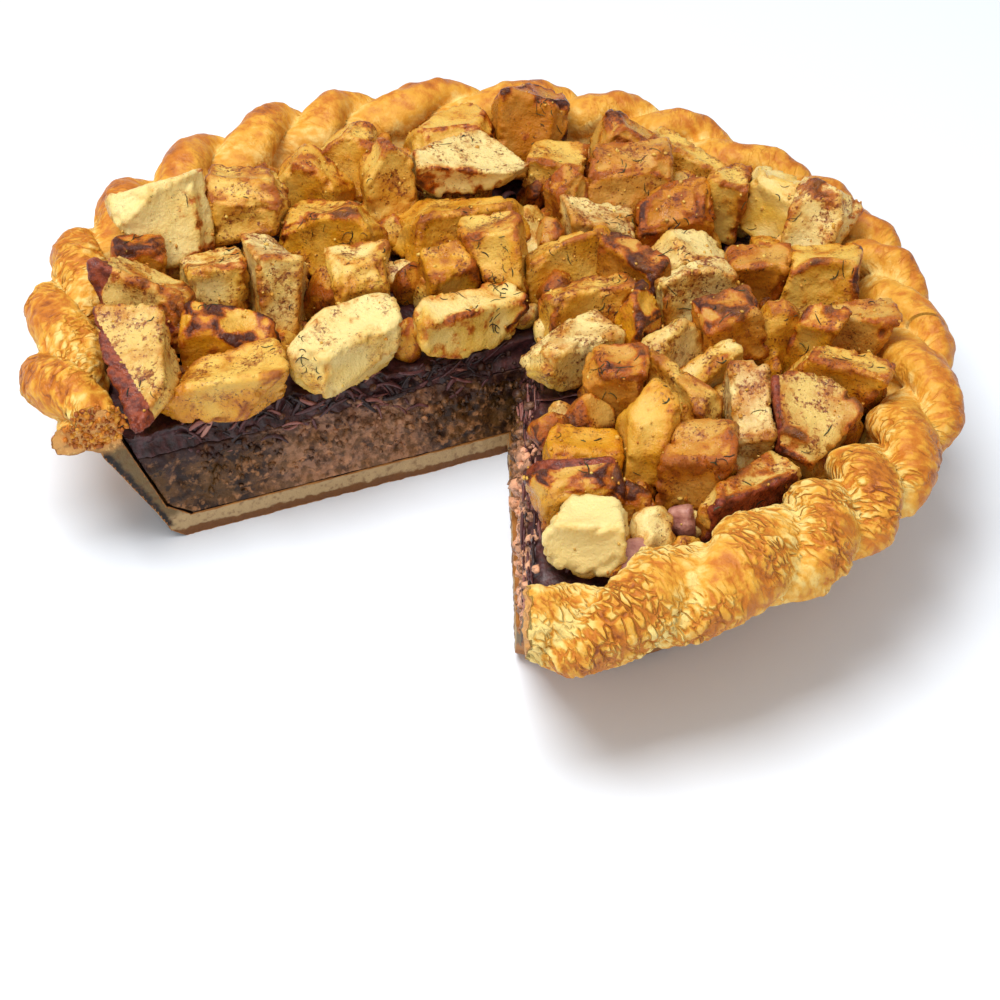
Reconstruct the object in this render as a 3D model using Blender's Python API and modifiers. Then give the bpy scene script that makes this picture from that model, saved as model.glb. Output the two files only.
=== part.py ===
"""A deep round pie: a pastry case with a twisted rope edge, a layer of cooked meat,
a layer of dark soft onion, and a heap of roasted potato chunks, with one wedge cut out.

The origin is on the axis of the case, on the surface that it stands on, +Z is up, and
the wedge is missing on the -X -Y side. Everything is in metres.
"""
import math
import random

import bmesh
import bpy
import numpy as np
from mathutils import Matrix, Vector, noise

MM = 0.001
GAP = 0.4 * MM                      # air between two pieces that touch
WALL_GAP = 0.8 * MM                 # air between the fillings and the wall of the case

# The pastry case: a flat base, a wall that leans out, and the rope edge on top of it.
BASE_RADIUS = 90 * MM
FOOT_RADIUS = 94.5 * MM
LIP_RADIUS = 112.5 * MM
LIP_HEIGHT = 36.5 * MM
FOOT_HEIGHT = 3 * MM
FLOOR_TOP = 7 * MM
FLOOR_RADIUS = 88.5 * MM
CORNER_RADIUS = 95.3 * MM
CORNER_HEIGHT = 12 * MM
MOUTH_RADIUS = 105.4 * MM

# The rope edge: its centre line, its half width and half height, and its twisted strands.
ROPE_RADIUS = 118.3 * MM
ROPE_HEIGHT = 44.5 * MM
ROPE_HALF_WIDTH = 10 * MM
ROPE_HALF_HEIGHT = 8.2 * MM
ROPE_POINTS = 9
STRAND_CRESTS = (-2, 12, 21, 31, 40, 55, 66, 79, 94, 110, 120, 134, 149, 163, 176, 193, 207,
                 221, 236, 251, 266, 281, 295, 310, 319, 329, 343)   # bearings in degrees
STRAND_STEPS = 5                    # rows of points on each strand
CREST_SHARE = 0.37                  # how far across a strand its crest lies
STRAND_DEPTH = 6.2 * MM
STRAND_LEAN = 0.72                  # strands passed over by one groove, inside to outside
# Where the edge is uneven: bearing and spread in degrees, how much thicker, and how far
# in and up in millimetres. It is pinched at both ends of the cut, and thick at the front.
RIM_CHANGES = (
    (203, 5, -0.28, 0, 0),
    (270, 4, -0.34, 0, 0),
    (195, 16, 0, 3, 0),
    (72, 34, 0, 0, 1.5),
    (280, 9, 0, 0, -4.5),
    (302, 30, 0.24, 2, 1.5),
    (345, 16, -0.10, -1, 0),
    (8, 10, 0, 1.5, 0),
    (47, 8, -0.05, 3, 0),
    (150, 13, 0, 2, 0),
)

# By the front end of the cut the foot of the case is drawn in: how far, and the bearing and
# spread in degrees.
FOOT_TUCK = 10 * MM
TUCK_BEARING = 271
TUCK_WIDTH = 13
TUCK_FROM = 80 * MM                 # points of the floor nearer the axis stay

# The cut: its point lies a little off the axis, and its sides run at these bearings.
CUT_POINT = Vector((7 * MM, 1.3 * MM, 0))
LEFT_BEARING = math.radians(203.3)
RIGHT_BEARING = math.radians(270)
CUT_REACH = 190 * MM

# The fillings, from the floor of the case up.
MEAT_TOP = 28.8 * MM
ONION_TOP = 36.2 * MM
ONION_LUMPS = 1.4 * MM
ONION_CELL = 7.5 * MM
FILLING_STEPS = 72
FACE_CELL = 4 * MM                # size of the crumbs in the cut faces
MEAT_CRUMBLE = 1.7 * MM

# The roasted potato chunks. Each has its place and its lowest height, its length, width
# and height before it is tipped, its turn, tip and lean in degrees, its shape and its skin
# or browning. A height of 0 rests the chunk on the onion.
CHUNK_BEVEL = 1.1 * MM
CHUNK_SLANT = 0.2                   # how far a chunk's sides are from square
CHUNK_SIZE = 1.1                    # knife cuts take this much off again
CHUNK_TILT = 9                      # degrees that a chunk may lie further over
NEAR = 60 * MM                      # chunks further apart than this can't touch
POTATOES = (
    (-93, 37, 38, 27, 21, 20, 27, -24, 0, "cube", "cream"),
    (-98, 16, 0, 13, 11, 18, 10, -8, 6, "round", "brown"),
    (-93, 0, 0, 21, 15, 17, -14, -10, 4, "cube", "skin"),
    (-77, 12, 0, 17, 15, 15, 20, -10, 0, "cube", "cream"),
    (-60, 8, 0, 16, 17, 22, 8, -8, 0, "cube", "cream"),
    (-97, -37, 0, 23, 33, 16, -6, 0, 0, "ramp", "skin"),
    (-71, -12, 0, 22, 10, 14, -6, -6, 0, "round", "golden"),
    (-72, -28, 0, 32, 14, 12, 14, 4, 0, "cube", "golden"),
    (-40, -14, 0, 28, 14, 15, 23, 3, -4, "cube", "cream"),
    (-36, 13, 0, 14, 14, 18, 12, 0, 0, "round", "cream"),
    (-69, 46, 0, 21, 17, 17, -6, -8, 0, "cube", "golden"),
    (-46, 40, 0, 30, 17, 16, -16, -10, 0, "cube", "golden"),
    (-52, 65, 0, 20, 13, 19, -12, -8, 0, "peak", "golden"),
    (-40, 78, 0, 20, 12, 18, -14, -6, 0, "peak", "golden"),
    (-28, 62, 0, 15, 14, 23, 10, -6, 0, "peak", "golden"),
    (-6, 47, 0, 33, 14, 14, 10, -8, 0, "cube", "golden"),
    (-6, 68, 48, 34, 19, 9, 12, 8, 0, "cube", "cream"),
    (-10, 90, 0, 25, 15, 16, 22, -10, 0, "round", "golden"),
    (13, 95, 0, 22, 13, 24, 10, -10, 0, "cube", "brown"),
    (23, 77, 0, 18, 13, 12, -6, -6, 0, "cube", "golden"),
    (41, 64, 0, 26, 16, 19, -2, -8, 0, "cube", "brown"),
    (41, 84, 0, 19, 12, 20, -4, -6, 0, "peak", "brown"),
    (65, 79, 0, 26, 12, 14, -34, -8, 0, "cube", "golden"),
    (55, 51, 0, 23, 14, 17, 12, -6, 0, "round", "brown"),
    (73, 59, 0, 14, 13, 19, -4, -6, 0, "cube", "golden"),
    (86, 57, 0, 19, 15, 17, -30, -12, 0, "round", "cream"),
    (96, 41, 40, 20, 15, 19, -20, -12, 0, "round", "cream"),
    (92, 18, 0, 24, 17, 16, -4, -6, 0, "cube", "golden"),
    (58, 25, 0, 20, 14, 15, 24, -6, 0, "cube", "cream"),
    (75, 20, 0, 21, 10, 15, -6, -4, 0, "cube", "brown"),
    (26, 58, 0, 12, 10, 21, 30, 0, 0, "peak", "brown"),
    (34, 45, 0, 18, 12, 14, 8, -6, 0, "cube", "cream"),
    (4, 25, 0, 21, 16, 18, -10, -8, 0, "cube", "golden"),
    (-9, 21, 0, 18, 11, 16, 20, -2, 0, "cube", "golden"),
    (-5, 2, 37, 30, 8, 13, 18, 0, 0, "disc", "cream"),
    (25, 26, 0, 30, 11, 14, 12, -6, 0, "cube", "golden"),
    (42, 18, 43, 22, 8, 13, -38, -8, 0, "cube", "brown"),
    (28, 5, 0, 23, 12, 15, 6, -6, 0, "cube", "golden"),
    (24, -13, 0, 25, 13, 14, 24, -6, 0, "cube", "cream"),
    (37, -5, 0, 15, 14, 24, -30, -10, 0, "peak", "golden"),
    (57, 8, 40, 19, 10, 16, 24, -4, 0, "cube", "cream"),
    (47, -12, 0, 22, 12, 19, 42, -8, 0, "peak", "cream"),
    (65, -9, 42, 20, 14, 14, 4, -4, 0, "cube", "brown"),
    (60, -24, 0, 18, 12, 14, 26, -4, 0, "cube", "cream"),
    (88, -9, 0, 9, 9, 22, -20, 0, 0, "cube", "golden"),
    (102, -8, 40, 21, 12, 15, 14, -4, -8, "tongue", "brown"),
    (91, -32, 0, 26, 14, 17, -24, -6, 0, "cube", "golden"),
    (83, -47, 0, 21, 23, 15, -14, 28, 0, "round", "skin"),
    (65, -43, 0, 18, 23, 13, -8, 26, 0, "cube", "cream"),
    (35, -32, 0, 17, 11, 18, -8, -4, 0, "cube", "brown"),
    (49, -37, 0, 23, 10, 15, -48, -6, 0, "cube", "golden"),
    (24, -54, 0, 18, 15, 10, 2, 4, 0, "cube", "golden"),
    (39, -55, 0, 14, 18, 21, -10, 10, 0, "round", "golden"),
    (52, -62, 0, 18, 17, 17, -16, 6, 0, "cube", "brown"),
    (21, -71, 0, 20, 12, 13, 8, 6, 0, "round", "skin"),
    (23, -87, 0, 17, 13, 13, -10, 6, 0, "cube", "cream"),
    (63, -70, 0, 27, 11, 13, 36, 8, 0, "cube", "skin"),
)

# The knife cuts that give single chunks their form, by number. Each is a direction, right, up
# and nearer as seen from in front and above, and the share of the chunk's reach that is kept.
FRONT_TILT = math.radians(51)
CUTS = {
    1: ((-0.75, -0.65, 0, 0.55), (0.5, -0.85, 0, 0.72), (0.85, 0, 0.5, 0.75)),
    5: ((0.6, 0.8, 0, 0.68), (-0.9, 0.4, 0, 0.8)),
    7: ((0.3, 0.3, 0.9, 0.8),),
    8: ((-0.7, 0.6, 0.2, 0.7), (0.6, -0.75, 0.2, 0.68), (-0.4, -0.85, 0.3, 0.75)),
    9: ((-0.8, 0.55, 0, 0.6), (0.65, -0.75, 0.2, 0.6), (-0.5, -0.8, 0.3, 0.7),
        (0.1, -0.45, 0.9, 0.72)),
    11: ((0.8, 0.5, 0.2, 0.8), (0, 0.3, 0.95, 0.75)),
    12: ((0.6, 0.75, 0.2, 0.62), (-0.6, 0.5, 0.6, 0.7)),
    16: ((-0.6, 0.7, 0.3, 0.7), (0.8, 0.4, 0.4, 0.75)),
    17: ((-0.4, 0.9, 0, 0.6), (0.6, 0.75, 0, 0.6), (0.55, -0.8, 0, 0.65), (-0.5, -0.8, 0, 0.7)),
    18: ((-0.7, 0.7, 0, 0.6), (0.5, -0.8, 0, 0.6)),
    19: ((-0.5, 0.85, 0, 0.6), (0.6, -0.3, 0.6, 0.7)),
    21: ((0, 0.4, 0.9, 0.75), (-0.8, 0.5, 0, 0.75)),
    24: ((-0.6, 0.8, 0, 0.65), (0, 0.2, 0.95, 0.7)),
    27: ((-0.6, 0.7, 0.3, 0.7), (0.7, -0.5, 0.5, 0.7)),
    28: ((-0.5, 0.6, 0.6, 0.72), (0.7, -0.7, 0, 0.75)),
    29: ((-0.7, 0.5, 0.5, 0.65), (0.7, 0.6, 0.3, 0.7)),
    33: ((0.85, 0.5, 0, 0.55), (-0.5, -0.8, 0, 0.65)),
    34: ((0, 0.6, 0.8, 0.75),),
    36: ((-0.5, 0.8, 0.3, 0.65), (0.6, 0.7, 0.4, 0.7)),
    38: ((-0.4, 0.9, 0.2, 0.7), (0.8, -0.5, 0.2, 0.75)),
    39: ((-0.6, 0.75, 0.2, 0.62), (0.5, -0.8, 0.2, 0.62), (-0.5, -0.8, 0.2, 0.7)),
    40: ((-0.77, 0.64, 0, 0.25), (0.5, -0.87, 0, 0.5)),
    41: ((-0.5, 0.8, 0.3, 0.7), (0.5, 0.6, 0.6, 0.7)),
    42: ((-0.5, 0.87, 0, 0.4), (-0.5, -0.87, 0, 0.45)),
    43: ((0.9, 0.4, 0.1, 0.75), (-0.3, 0.4, 0.85, 0.72)),
    44: ((-0.5, 0.6, 0.6, 0.6), (0.6, -0.6, 0.5, 0.6)),
    45: ((0.6, 0.8, 0, 0.75),),
    47: ((-0.7, 0.7, 0, 0.65), (-0.4, -0.9, 0, 0.7)),
    48: ((0.65, 0.75, 0, 0.65), (0.75, -0.65, 0, 0.75), (-0.65, -0.75, 0, 0.75)),
    49: ((-0.7, 0.7, 0, 0.75), (0.3, -0.9, 0.2, 0.8)),
    50: ((0.8, 0.5, 0.3, 0.7), (-0.8, 0.4, 0.4, 0.7)),
    51: ((-0.5, -0.85, 0, 0.5), (0.6, 0.8, 0, 0.6)),
    52: ((0, 0.3, 0.95, 0.75), (-0.8, 0.5, 0, 0.8)),
    53: ((-0.8, 0.6, 0, 0.65), (0.7, -0.7, 0, 0.7), (0.6, 0.75, 0.3, 0.75)),
    54: ((-0.7, 0.7, 0, 0.8), (0.8, 0.5, 0.3, 0.8), (0.7, -0.7, 0.2, 0.75), (0, 1, 0.3, 0.8)),
    55: ((-0.8, 0.5, 0.3, 0.75), (0.5, -0.85, 0, 0.65)),
    56: ((-0.75, 0.65, 0, 0.68), (0.7, 0.6, 0.3, 0.85), (-0.6, -0.75, 0, 0.8)),
    57: ((-0.7, 0.6, 0.3, 0.65), (0.5, -0.8, 0.3, 0.65)),
}

# Colour and roughness of each finish.
FINISHES = {
    "pastry": ((0.70, 0.36, 0.11), 0.55),
    "meat": ((0.16, 0.09, 0.05), 0.5),
    "onion": ((0.07, 0.03, 0.035), 0.35),
    "cream": ((0.78, 0.62, 0.29), 0.45),
    "golden": ((0.72, 0.45, 0.12), 0.45),
    "brown": ((0.52, 0.22, 0.05), 0.5),
    "skin": ((0.55, 0.30, 0.12), 0.5),
}


def clear_scene():
    """Remove whatever the file holds already."""
    for old in list(bpy.data.objects):
        bpy.data.objects.remove(old)


def collection(name):
    """A new collection in the scene."""
    made = bpy.data.collections.new(name)
    bpy.context.scene.collection.children.link(made)
    return made


def finish(name, kind):
    """One Principled material of the given kind."""
    colour, roughness = FINISHES[kind]
    material = bpy.data.materials.new(name)
    material.use_nodes = True
    shader = material.node_tree.nodes["Principled BSDF"]
    shader.inputs["Base Color"].default_value = (*colour, 1)
    shader.inputs["Roughness"].default_value = roughness
    shader.inputs["Metallic"].default_value = 0
    return material


def solid(name, mesh, kind=None):
    """Put a mesh in the scene: a piece of the pie with its finish, or else a cutter."""
    made = bpy.data.objects.new(name, mesh)
    (pie if kind else cutters).objects.link(made)
    if kind:
        mesh.materials.clear()
        mesh.materials.append(finish(name, kind))
    else:
        made.hide_render = True
        made.display_type = 'WIRE'
    return made


def freeze(made):
    """Turn an object's modifiers into its mesh."""
    bpy.context.view_layer.update()
    evaluated = made.evaluated_get(bpy.context.evaluated_depsgraph_get())
    mesh = bpy.data.meshes.new_from_object(evaluated)
    made.modifiers.clear()
    made.data = mesh
    return made


def turned(name, profile, steps, kind=None):
    """A solid turned about the Z axis from a profile of (radius, height) points."""
    mesh = bpy.data.meshes.new(name)
    points = [(radius, 0, height) for radius, height in profile]
    mesh.from_pydata(points, [(i, i + 1) for i in range(len(points) - 1)], [])
    made = solid(name, mesh, kind)
    screw = made.modifiers.new("turn", 'SCREW')
    screw.steps = screw.render_steps = steps
    screw.use_merge_vertices = True
    screw.merge_threshold = 0.01 * MM
    return freeze(made)


def boolean(made, other, operation):
    """Cut a solid with another, or keep what both fill."""
    modifier = made.modifiers.new(operation.lower(), 'BOOLEAN')
    modifier.operation = operation
    modifier.object = other
    modifier.solver = 'EXACT'
    return freeze(made)


def ramp(value, low, high):
    """0 below low, 1 above high, and straight between."""
    return min(max((value - low) / (high - low), 0), 1)


def swell(bearing, centre, width):
    """A smooth bump round the rim: 1 at a bearing in degrees, fading over a width."""
    away = (math.degrees(bearing) - centre + 180) % 360 - 180
    return math.exp(-(away / width) ** 2)


def lumps(place, size, seed=0):
    """Smooth irregular relief, from -1 to 1, with lumps of the given size."""
    return noise.noise(place / size + Vector((seed * 7.3, seed * 3.1, seed * 5.7)))


# ---- the pastry case ----------------------------------------------------------------

def wall_radius(height):
    """Outer radius of the case wall at a height."""
    return FOOT_RADIUS + (LIP_RADIUS - FOOT_RADIUS) * (height - FOOT_HEIGHT) / (
        LIP_HEIGHT - FOOT_HEIGHT)


def mouth_radius(height):
    """Inner radius of the case wall at a height above its rounded corner."""
    return CORNER_RADIUS + (MOUTH_RADIUS - CORNER_RADIUS) * (height - CORNER_HEIGHT) / (
        LIP_HEIGHT - CORNER_HEIGHT)


def case_profile():
    """Floor from the axis out, inner wall up, over the rope edge, outer wall down, base."""
    points = [(0, FLOOR_TOP), (FLOOR_RADIUS, FLOOR_TOP),
              ((FLOOR_RADIUS + CORNER_RADIUS) / 2, FLOOR_TOP + 1.4 * MM)]
    for height in (CORNER_HEIGHT, 24 * MM, LIP_HEIGHT):
        points.append((mouth_radius(height), height))
    for i in range(ROPE_POINTS):
        section = math.radians(198 - 300 * i / (ROPE_POINTS - 1))
        points.append((ROPE_RADIUS + ROPE_HALF_WIDTH * math.cos(section),
                       ROPE_HEIGHT + ROPE_HALF_HEIGHT * math.sin(section)))
    for height in (LIP_HEIGHT - 1.5 * MM, 20 * MM, FOOT_HEIGHT):
        points.append((wall_radius(height), height))
    points += [(BASE_RADIUS, 0), (0, 0)]
    return points


def crest_bearing(phase):
    """Bearing that lies a number of strands past the first crest of the rope."""
    turns, phase = divmod(phase, len(STRAND_CRESTS))
    crests = STRAND_CRESTS + (STRAND_CRESTS[0] + 360,)
    return math.radians(np.interp(phase, range(len(crests)), crests) + 360 * turns)


def rim_change(bearing):
    """How much thicker the edge is at a bearing, and how far it lies in and up."""
    thicker = in_by = up_by = 0
    for where, width, swollen, inward, upward in RIM_CHANGES:
        share = swell(bearing, where, width)
        thicker += share * swollen
        in_by += share * inward * MM
        up_by += share * upward * MM
    return thicker, in_by, up_by


def foot_tuck(place):
    """How far a point of the case or of the meat in it lies in, near the drawn-in foot."""
    if math.hypot(place.x, place.y) < TUCK_FROM:
        return 0
    share = swell(math.atan2(place.y, place.x), TUCK_BEARING, TUCK_WIDTH)
    return FOOT_TUCK * share * (1 - ramp(place.z, CORNER_HEIGHT, 2 * CORNER_HEIGHT))


def rope_relief(place):
    """Where a point of the plain turned case goes once the edge is twisted and baked."""
    radius = math.hypot(place.x, place.y)
    outer = radius > (mouth_radius(place.z) + wall_radius(place.z)) / 2
    hold = ramp(place.z, 34 * MM if outer else LIP_HEIGHT, 40 * MM)
    across = Vector((radius - ROPE_RADIUS, place.z - ROPE_HEIGHT))
    section = math.atan2(across.y, across.x)
    if section < 0 and not outer:
        section += 2 * math.pi

    # Rows of points follow the strands, which lean back as they cross the rope.
    phase = math.atan2(place.y, place.x) / (2 * math.pi) * len(STRAND_CRESTS)
    strand, along = divmod(phase + 0.5 / STRAND_STEPS, 1)
    along -= 0.5 / STRAND_STEPS
    lean = STRAND_LEAN * ramp(place.z, 6 * MM, 38 * MM) * section / math.pi
    bearing = crest_bearing(strand + along + lean - CREST_SHARE)

    plump = 1 + 0.3 * noise.noise(Vector((strand * 1.7, 4.2, 0.3)))
    lobe = STRAND_DEPTH * (plump * math.sin(math.pi * abs(along) ** 0.7) - 0.75)
    lobe += 1.2 * MM * lumps(place, 9 * MM, 3)
    thicker, in_by, up_by = rim_change(bearing)
    grow = lobe / max(across.length, 1 * MM) + thicker
    radius += hold * (across.x * grow - in_by)
    height = place.z + hold * (across.y * grow + up_by)
    if outer and hold == 0 and place.z > 0:
        radius += 0.7 * MM * lumps(place, 12 * MM, 8)
    out = bearing_vector(bearing)
    radius -= foot_tuck(out * radius + Vector((0, 0, place.z)))
    return out * radius + Vector((0, 0, height))


def make_case():
    """The pastry case with its rope edge, whole, before the wedge is cut."""
    steps = STRAND_STEPS * len(STRAND_CRESTS)
    case = turned("crust", case_profile(), steps, "pastry")
    for vertex in case.data.vertices:
        vertex.co = rope_relief(vertex.co.copy())
    return case


# ---- the knives that take the wedge out ---------------------------------------------

def bearing_vector(bearing):
    """Level unit vector at a bearing."""
    return Vector((math.cos(bearing), math.sin(bearing), 0))


def slab(name, bearing, side, recess, height, cell):
    """A thick slab whose gridded face stands along one side of the cut.

    It fills the missing side. recess(along, height) says how far the face goes past the
    plane of the cut, into the pie.
    """
    out = bearing_vector(bearing)
    into = side * Vector((0, 0, 1)).cross(out)
    mesh = bpy.data.meshes.new(name)
    grid = bmesh.new()
    bmesh.ops.create_grid(grid, x_segments=round(CUT_REACH / cell),
                          y_segments=round(height / cell), size=0.5)
    front = list(grid.faces)
    back = bmesh.ops.extrude_face_region(grid, geom=front)["geom"]
    for item in back:
        if isinstance(item, bmesh.types.BMVert):
            item.co.z = -1
    for vertex in grid.verts:
        along = (vertex.co.x + 0.5) * CUT_REACH - 40 * MM
        up = (vertex.co.y + 0.5) * height - height / 8
        depth = -CUT_REACH if vertex.co.z < -0.5 else recess(along, up)
        vertex.co = CUT_POINT + out * along + into * depth + Vector((0, 0, up))
    bmesh.ops.recalc_face_normals(grid, faces=grid.faces)
    grid.to_mesh(mesh)
    grid.free()
    return solid(name, mesh)


def left_recess(along, up):
    """The left face stands straight, crumbles, and sinks in a little at the onion."""
    crumble = MEAT_CRUMBLE * lumps(Vector((along, up * 1.2, 0)), 7 * MM, 1)
    return crumble + 1 * MM + 2 * MM * ramp(up, MEAT_TOP, MEAT_TOP + 3 * MM)


def right_recess(along, up):
    """The right face leans back, most of all near the point of the cut."""
    near = 1 - 0.55 * ramp(along, 20 * MM, 90 * MM)
    lean = 2.5 * MM * ramp(up, FLOOR_TOP, MEAT_TOP) + 5 * MM * ramp(up, MEAT_TOP, ONION_TOP)
    crumble = MEAT_CRUMBLE * lumps(Vector((along, up * 1.2, 0)), 7 * MM, 2)
    return crumble + 1 * MM + near * lean


def smooth_recess(_along, _up):
    """The pastry is cut clean."""
    return 0


def wedge_knife(name, left, right, cell):
    """The shape of the missing wedge, between a left and a right face."""
    knife = slab(name, LEFT_BEARING, -1, left, 68 * MM, cell)
    other = slab(name + "_side", RIGHT_BEARING, 1, right, 76 * MM, cell)
    return boolean(knife, other, 'INTERSECT')


# ---- the fillings -------------------------------------------------------------------

def onion_height(x, y):
    """Height of the lumpy top of the onion."""
    return ONION_TOP + ONION_LUMPS * lumps(Vector((x, y, 0)), 17 * MM, 5)


def make_meat(knife):
    """Minced meat, packed on the floor of the case up to the onion."""
    profile = [(0, MEAT_TOP), (mouth_radius(MEAT_TOP) - WALL_GAP, MEAT_TOP),
               (CORNER_RADIUS - WALL_GAP, CORNER_HEIGHT),
               ((FLOOR_RADIUS + CORNER_RADIUS) / 2 - WALL_GAP, FLOOR_TOP + 1.4 * MM + GAP),
               (FLOOR_RADIUS - WALL_GAP, FLOOR_TOP + GAP), (0, FLOOR_TOP + GAP)]
    meat = turned("meat_filling", profile, FILLING_STEPS, "meat")
    for vertex in meat.data.vertices:
        tuck = 1.4 * foot_tuck(vertex.co)
        vertex.co -= bearing_vector(math.atan2(vertex.co.y, vertex.co.x)) * tuck
    return boolean(meat, knife, 'DIFFERENCE')


def make_onion(knife):
    """Soft dark onion over the meat, with a lumpy top."""
    low = MEAT_TOP + GAP
    high = ONION_TOP + 10 * MM
    plug = turned("onion_plug", [
        (0, high), (mouth_radius(LIP_HEIGHT) - WALL_GAP, high),
        (mouth_radius(LIP_HEIGHT) - WALL_GAP, LIP_HEIGHT),
        (mouth_radius(low) - WALL_GAP, low), (0, low)], FILLING_STEPS)
    mesh = bpy.data.meshes.new("onion_layer")
    grid = bmesh.new()
    cells = round(2 * MOUTH_RADIUS / ONION_CELL) + 2
    half = cells * ONION_CELL / 2
    bmesh.ops.create_grid(grid, x_segments=cells, y_segments=cells, size=half)
    under = bmesh.ops.extrude_face_region(grid, geom=list(grid.faces))["geom"]
    under = {item for item in under if isinstance(item, bmesh.types.BMVert)}
    for vertex in grid.verts:
        vertex.co.x += ONION_CELL * (0.31 + 0.5 * lumps(vertex.co, 2.3 * ONION_CELL, 6))
        vertex.co.y += ONION_CELL * (0.17 + 0.5 * lumps(vertex.co, 2.1 * ONION_CELL, 7))
        top = onion_height(vertex.co.x, vertex.co.y)
        vertex.co.z = low - 5 * MM if vertex in under else top
    bmesh.ops.recalc_face_normals(grid, faces=grid.faces)
    grid.to_mesh(mesh)
    grid.free()
    onion = solid("onion_layer", mesh, "onion")
    boolean(onion, plug, 'INTERSECT')
    return boolean(onion, knife, 'DIFFERENCE')


# ---- the potato chunks --------------------------------------------------------------

def slice_off(piece, point, normal):
    """Cut away the side of a piece that the normal points to, and close the cut."""
    everything = piece.verts[:] + piece.edges[:] + piece.faces[:]
    cut = bmesh.ops.bisect_plane(piece, geom=everything, dist=1e-7, plane_co=point,
                                 plane_no=normal, clear_outer=True)["geom_cut"]
    edges = [item for item in cut if isinstance(item, bmesh.types.BMEdge)]
    if edges:
        bmesh.ops.edgeloop_fill(piece, edges=edges)
        piece.normal_update()


def reach(piece, direction):
    """How far a piece reaches along a direction."""
    return max(vertex.co.dot(direction) for vertex in piece.verts)


# Extra slices that give a chunk its shape: a direction in the chunk's own axes, and the
# share of its reach there that is kept.
SHAPES = {
    "cube": (),
    "peak": (((1, 0.2, 1.1), 0.52), ((-1, -0.1, 0.8), 0.60)),
    "round": (((0.9, -0.6, 0.7), 0.70), ((-0.9, -0.5, 0.7), 0.72), ((0, -1, 1), 0.76),
              ((0.8, -1, -0.3), 0.76)),
    "ramp": (((0, -0.5, 0.87), 0.10), ((-1, -0.62, -0.25), 0.52), ((-1, -0.2, -0.5), 0.72),
             ((-0.9, -1, -0.3), 0.58), ((1, -0.45, 0), 0.62)),
    "tongue": (((-1, -1.4, 0.1), 0.62), ((-1, -0.4, -0.6), 0.72), ((0.6, -1, -0.5), 0.80)),
    "disc": (((1, 0, -0.8), 0.74), ((-1, 0, -0.8), 0.74), ((1, 0, -2.2), 0.80),
             ((-1, 0, -2.2), 0.80), ((-1, 0, 1.2), 0.86)),
}


def rough_chunk(size, shape, chips, draw):
    """A potato chunk round the origin: knife cut, so flat faces, none quite square, and with
    some corners chipped off."""
    piece = bmesh.new()
    bmesh.ops.create_cube(piece, size=1)
    bmesh.ops.scale(piece, vec=size * 1.6, verts=piece.verts)
    for axis in range(3):
        for sign in (-1, 1):
            face = Vector((0, 0, 0))
            face[axis] = sign
            tilt = Vector([draw.uniform(-CHUNK_SLANT, CHUNK_SLANT) for _ in range(3)])
            slice_off(piece, face * size[axis] / 2, (face + tilt).normalized())
    for direction, kept in SHAPES[shape]:
        direction = Vector(direction).normalized()
        slice_off(piece, direction * reach(piece, direction) * kept, direction)
    for _ in range(chips):
        direction = Vector([draw.choice((-1, 1)) * draw.uniform(0.35, 1) for _ in range(3)])
        direction.normalize()
        kept = draw.uniform(0.72, 0.86)
        slice_off(piece, direction * reach(piece, direction) * kept, direction)
    return piece


def place_chunk(piece, x, y, low, turn, tip, lean, cuts):
    """Turn and tip a chunk, cut its own form, and set it down at its height or the onion."""
    turning = (Matrix.Rotation(math.radians(turn), 4, 'Z')
               @ Matrix.Rotation(math.radians(tip), 4, 'X')
               @ Matrix.Rotation(math.radians(lean), 4, 'Y'))
    bmesh.ops.transform(piece, matrix=turning, verts=piece.verts)
    front = Matrix.Rotation(FRONT_TILT, 3, 'X')
    for right, up, nearer, kept in cuts:
        direction = front @ Vector((right, up, nearer)).normalized()
        slice_off(piece, direction * reach(piece, direction) * kept, direction)
    bmesh.ops.translate(piece, vec=(x, y, 0), verts=piece.verts)
    if low:
        rise = low - min(vertex.co.z for vertex in piece.verts)
    else:
        rise = 1.5 * GAP + max(onion_height(vertex.co.x, vertex.co.y) - vertex.co.z
                               for vertex in piece.verts)
    bmesh.ops.translate(piece, vec=(0, 0, rise), verts=piece.verts)


def centre_of(piece):
    """The middle of a piece's corners."""
    return sum((vertex.co for vertex in piece.verts), Vector()) / len(piece.verts)


def overlap_of(one, two):
    """How far two chunks run into each other, and the direction where that is least."""
    between = centre_of(two) - centre_of(one)
    axes = [between.normalized()]
    for face in one.faces[:] + two.faces[:]:
        axes.append(face.normal * math.copysign(1, face.normal.dot(between)))
    depths = [reach(one, axis) + reach(two, -axis) for axis in axes]
    least = depths.index(min(depths))
    return depths[least], axes[least]


def part_pair(one, two):
    """Where two chunks run into each other, slice both back to a plane between them."""
    overlap, axis = overlap_of(one, two)
    if overlap > -GAP:
        middle = reach(one, axis) - overlap / 2
        slice_off(one, axis * (middle - GAP / 2), axis)
        slice_off(two, axis * (middle + GAP / 2), -axis)


def clear_rim(piece):
    """Slice a chunk back where it would run into the rope edge."""
    middle = centre_of(piece)
    up = Vector((0, 0, 1))
    slope = math.radians(174 - 44 * ramp(middle.z, 44 * MM, 58 * MM))
    skin = math.hypot(ROPE_HALF_WIDTH * math.cos(slope), ROPE_HALF_HEIGHT * math.sin(slope))
    for turn in (-8, 0, 8):
        bearing = math.atan2(middle.y, middle.x) + math.radians(turn)
        thicker, in_by, up_by = rim_change(bearing)
        out = bearing_vector(bearing)
        normal = out * math.cos(slope) + up * math.sin(slope)
        core = out * (ROPE_RADIUS - in_by) + up * (ROPE_HEIGHT + up_by)
        clear = skin * (1 + thicker) + 0.5 * STRAND_DEPTH + GAP
        slice_off(piece, core + normal * clear, -normal)


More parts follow.
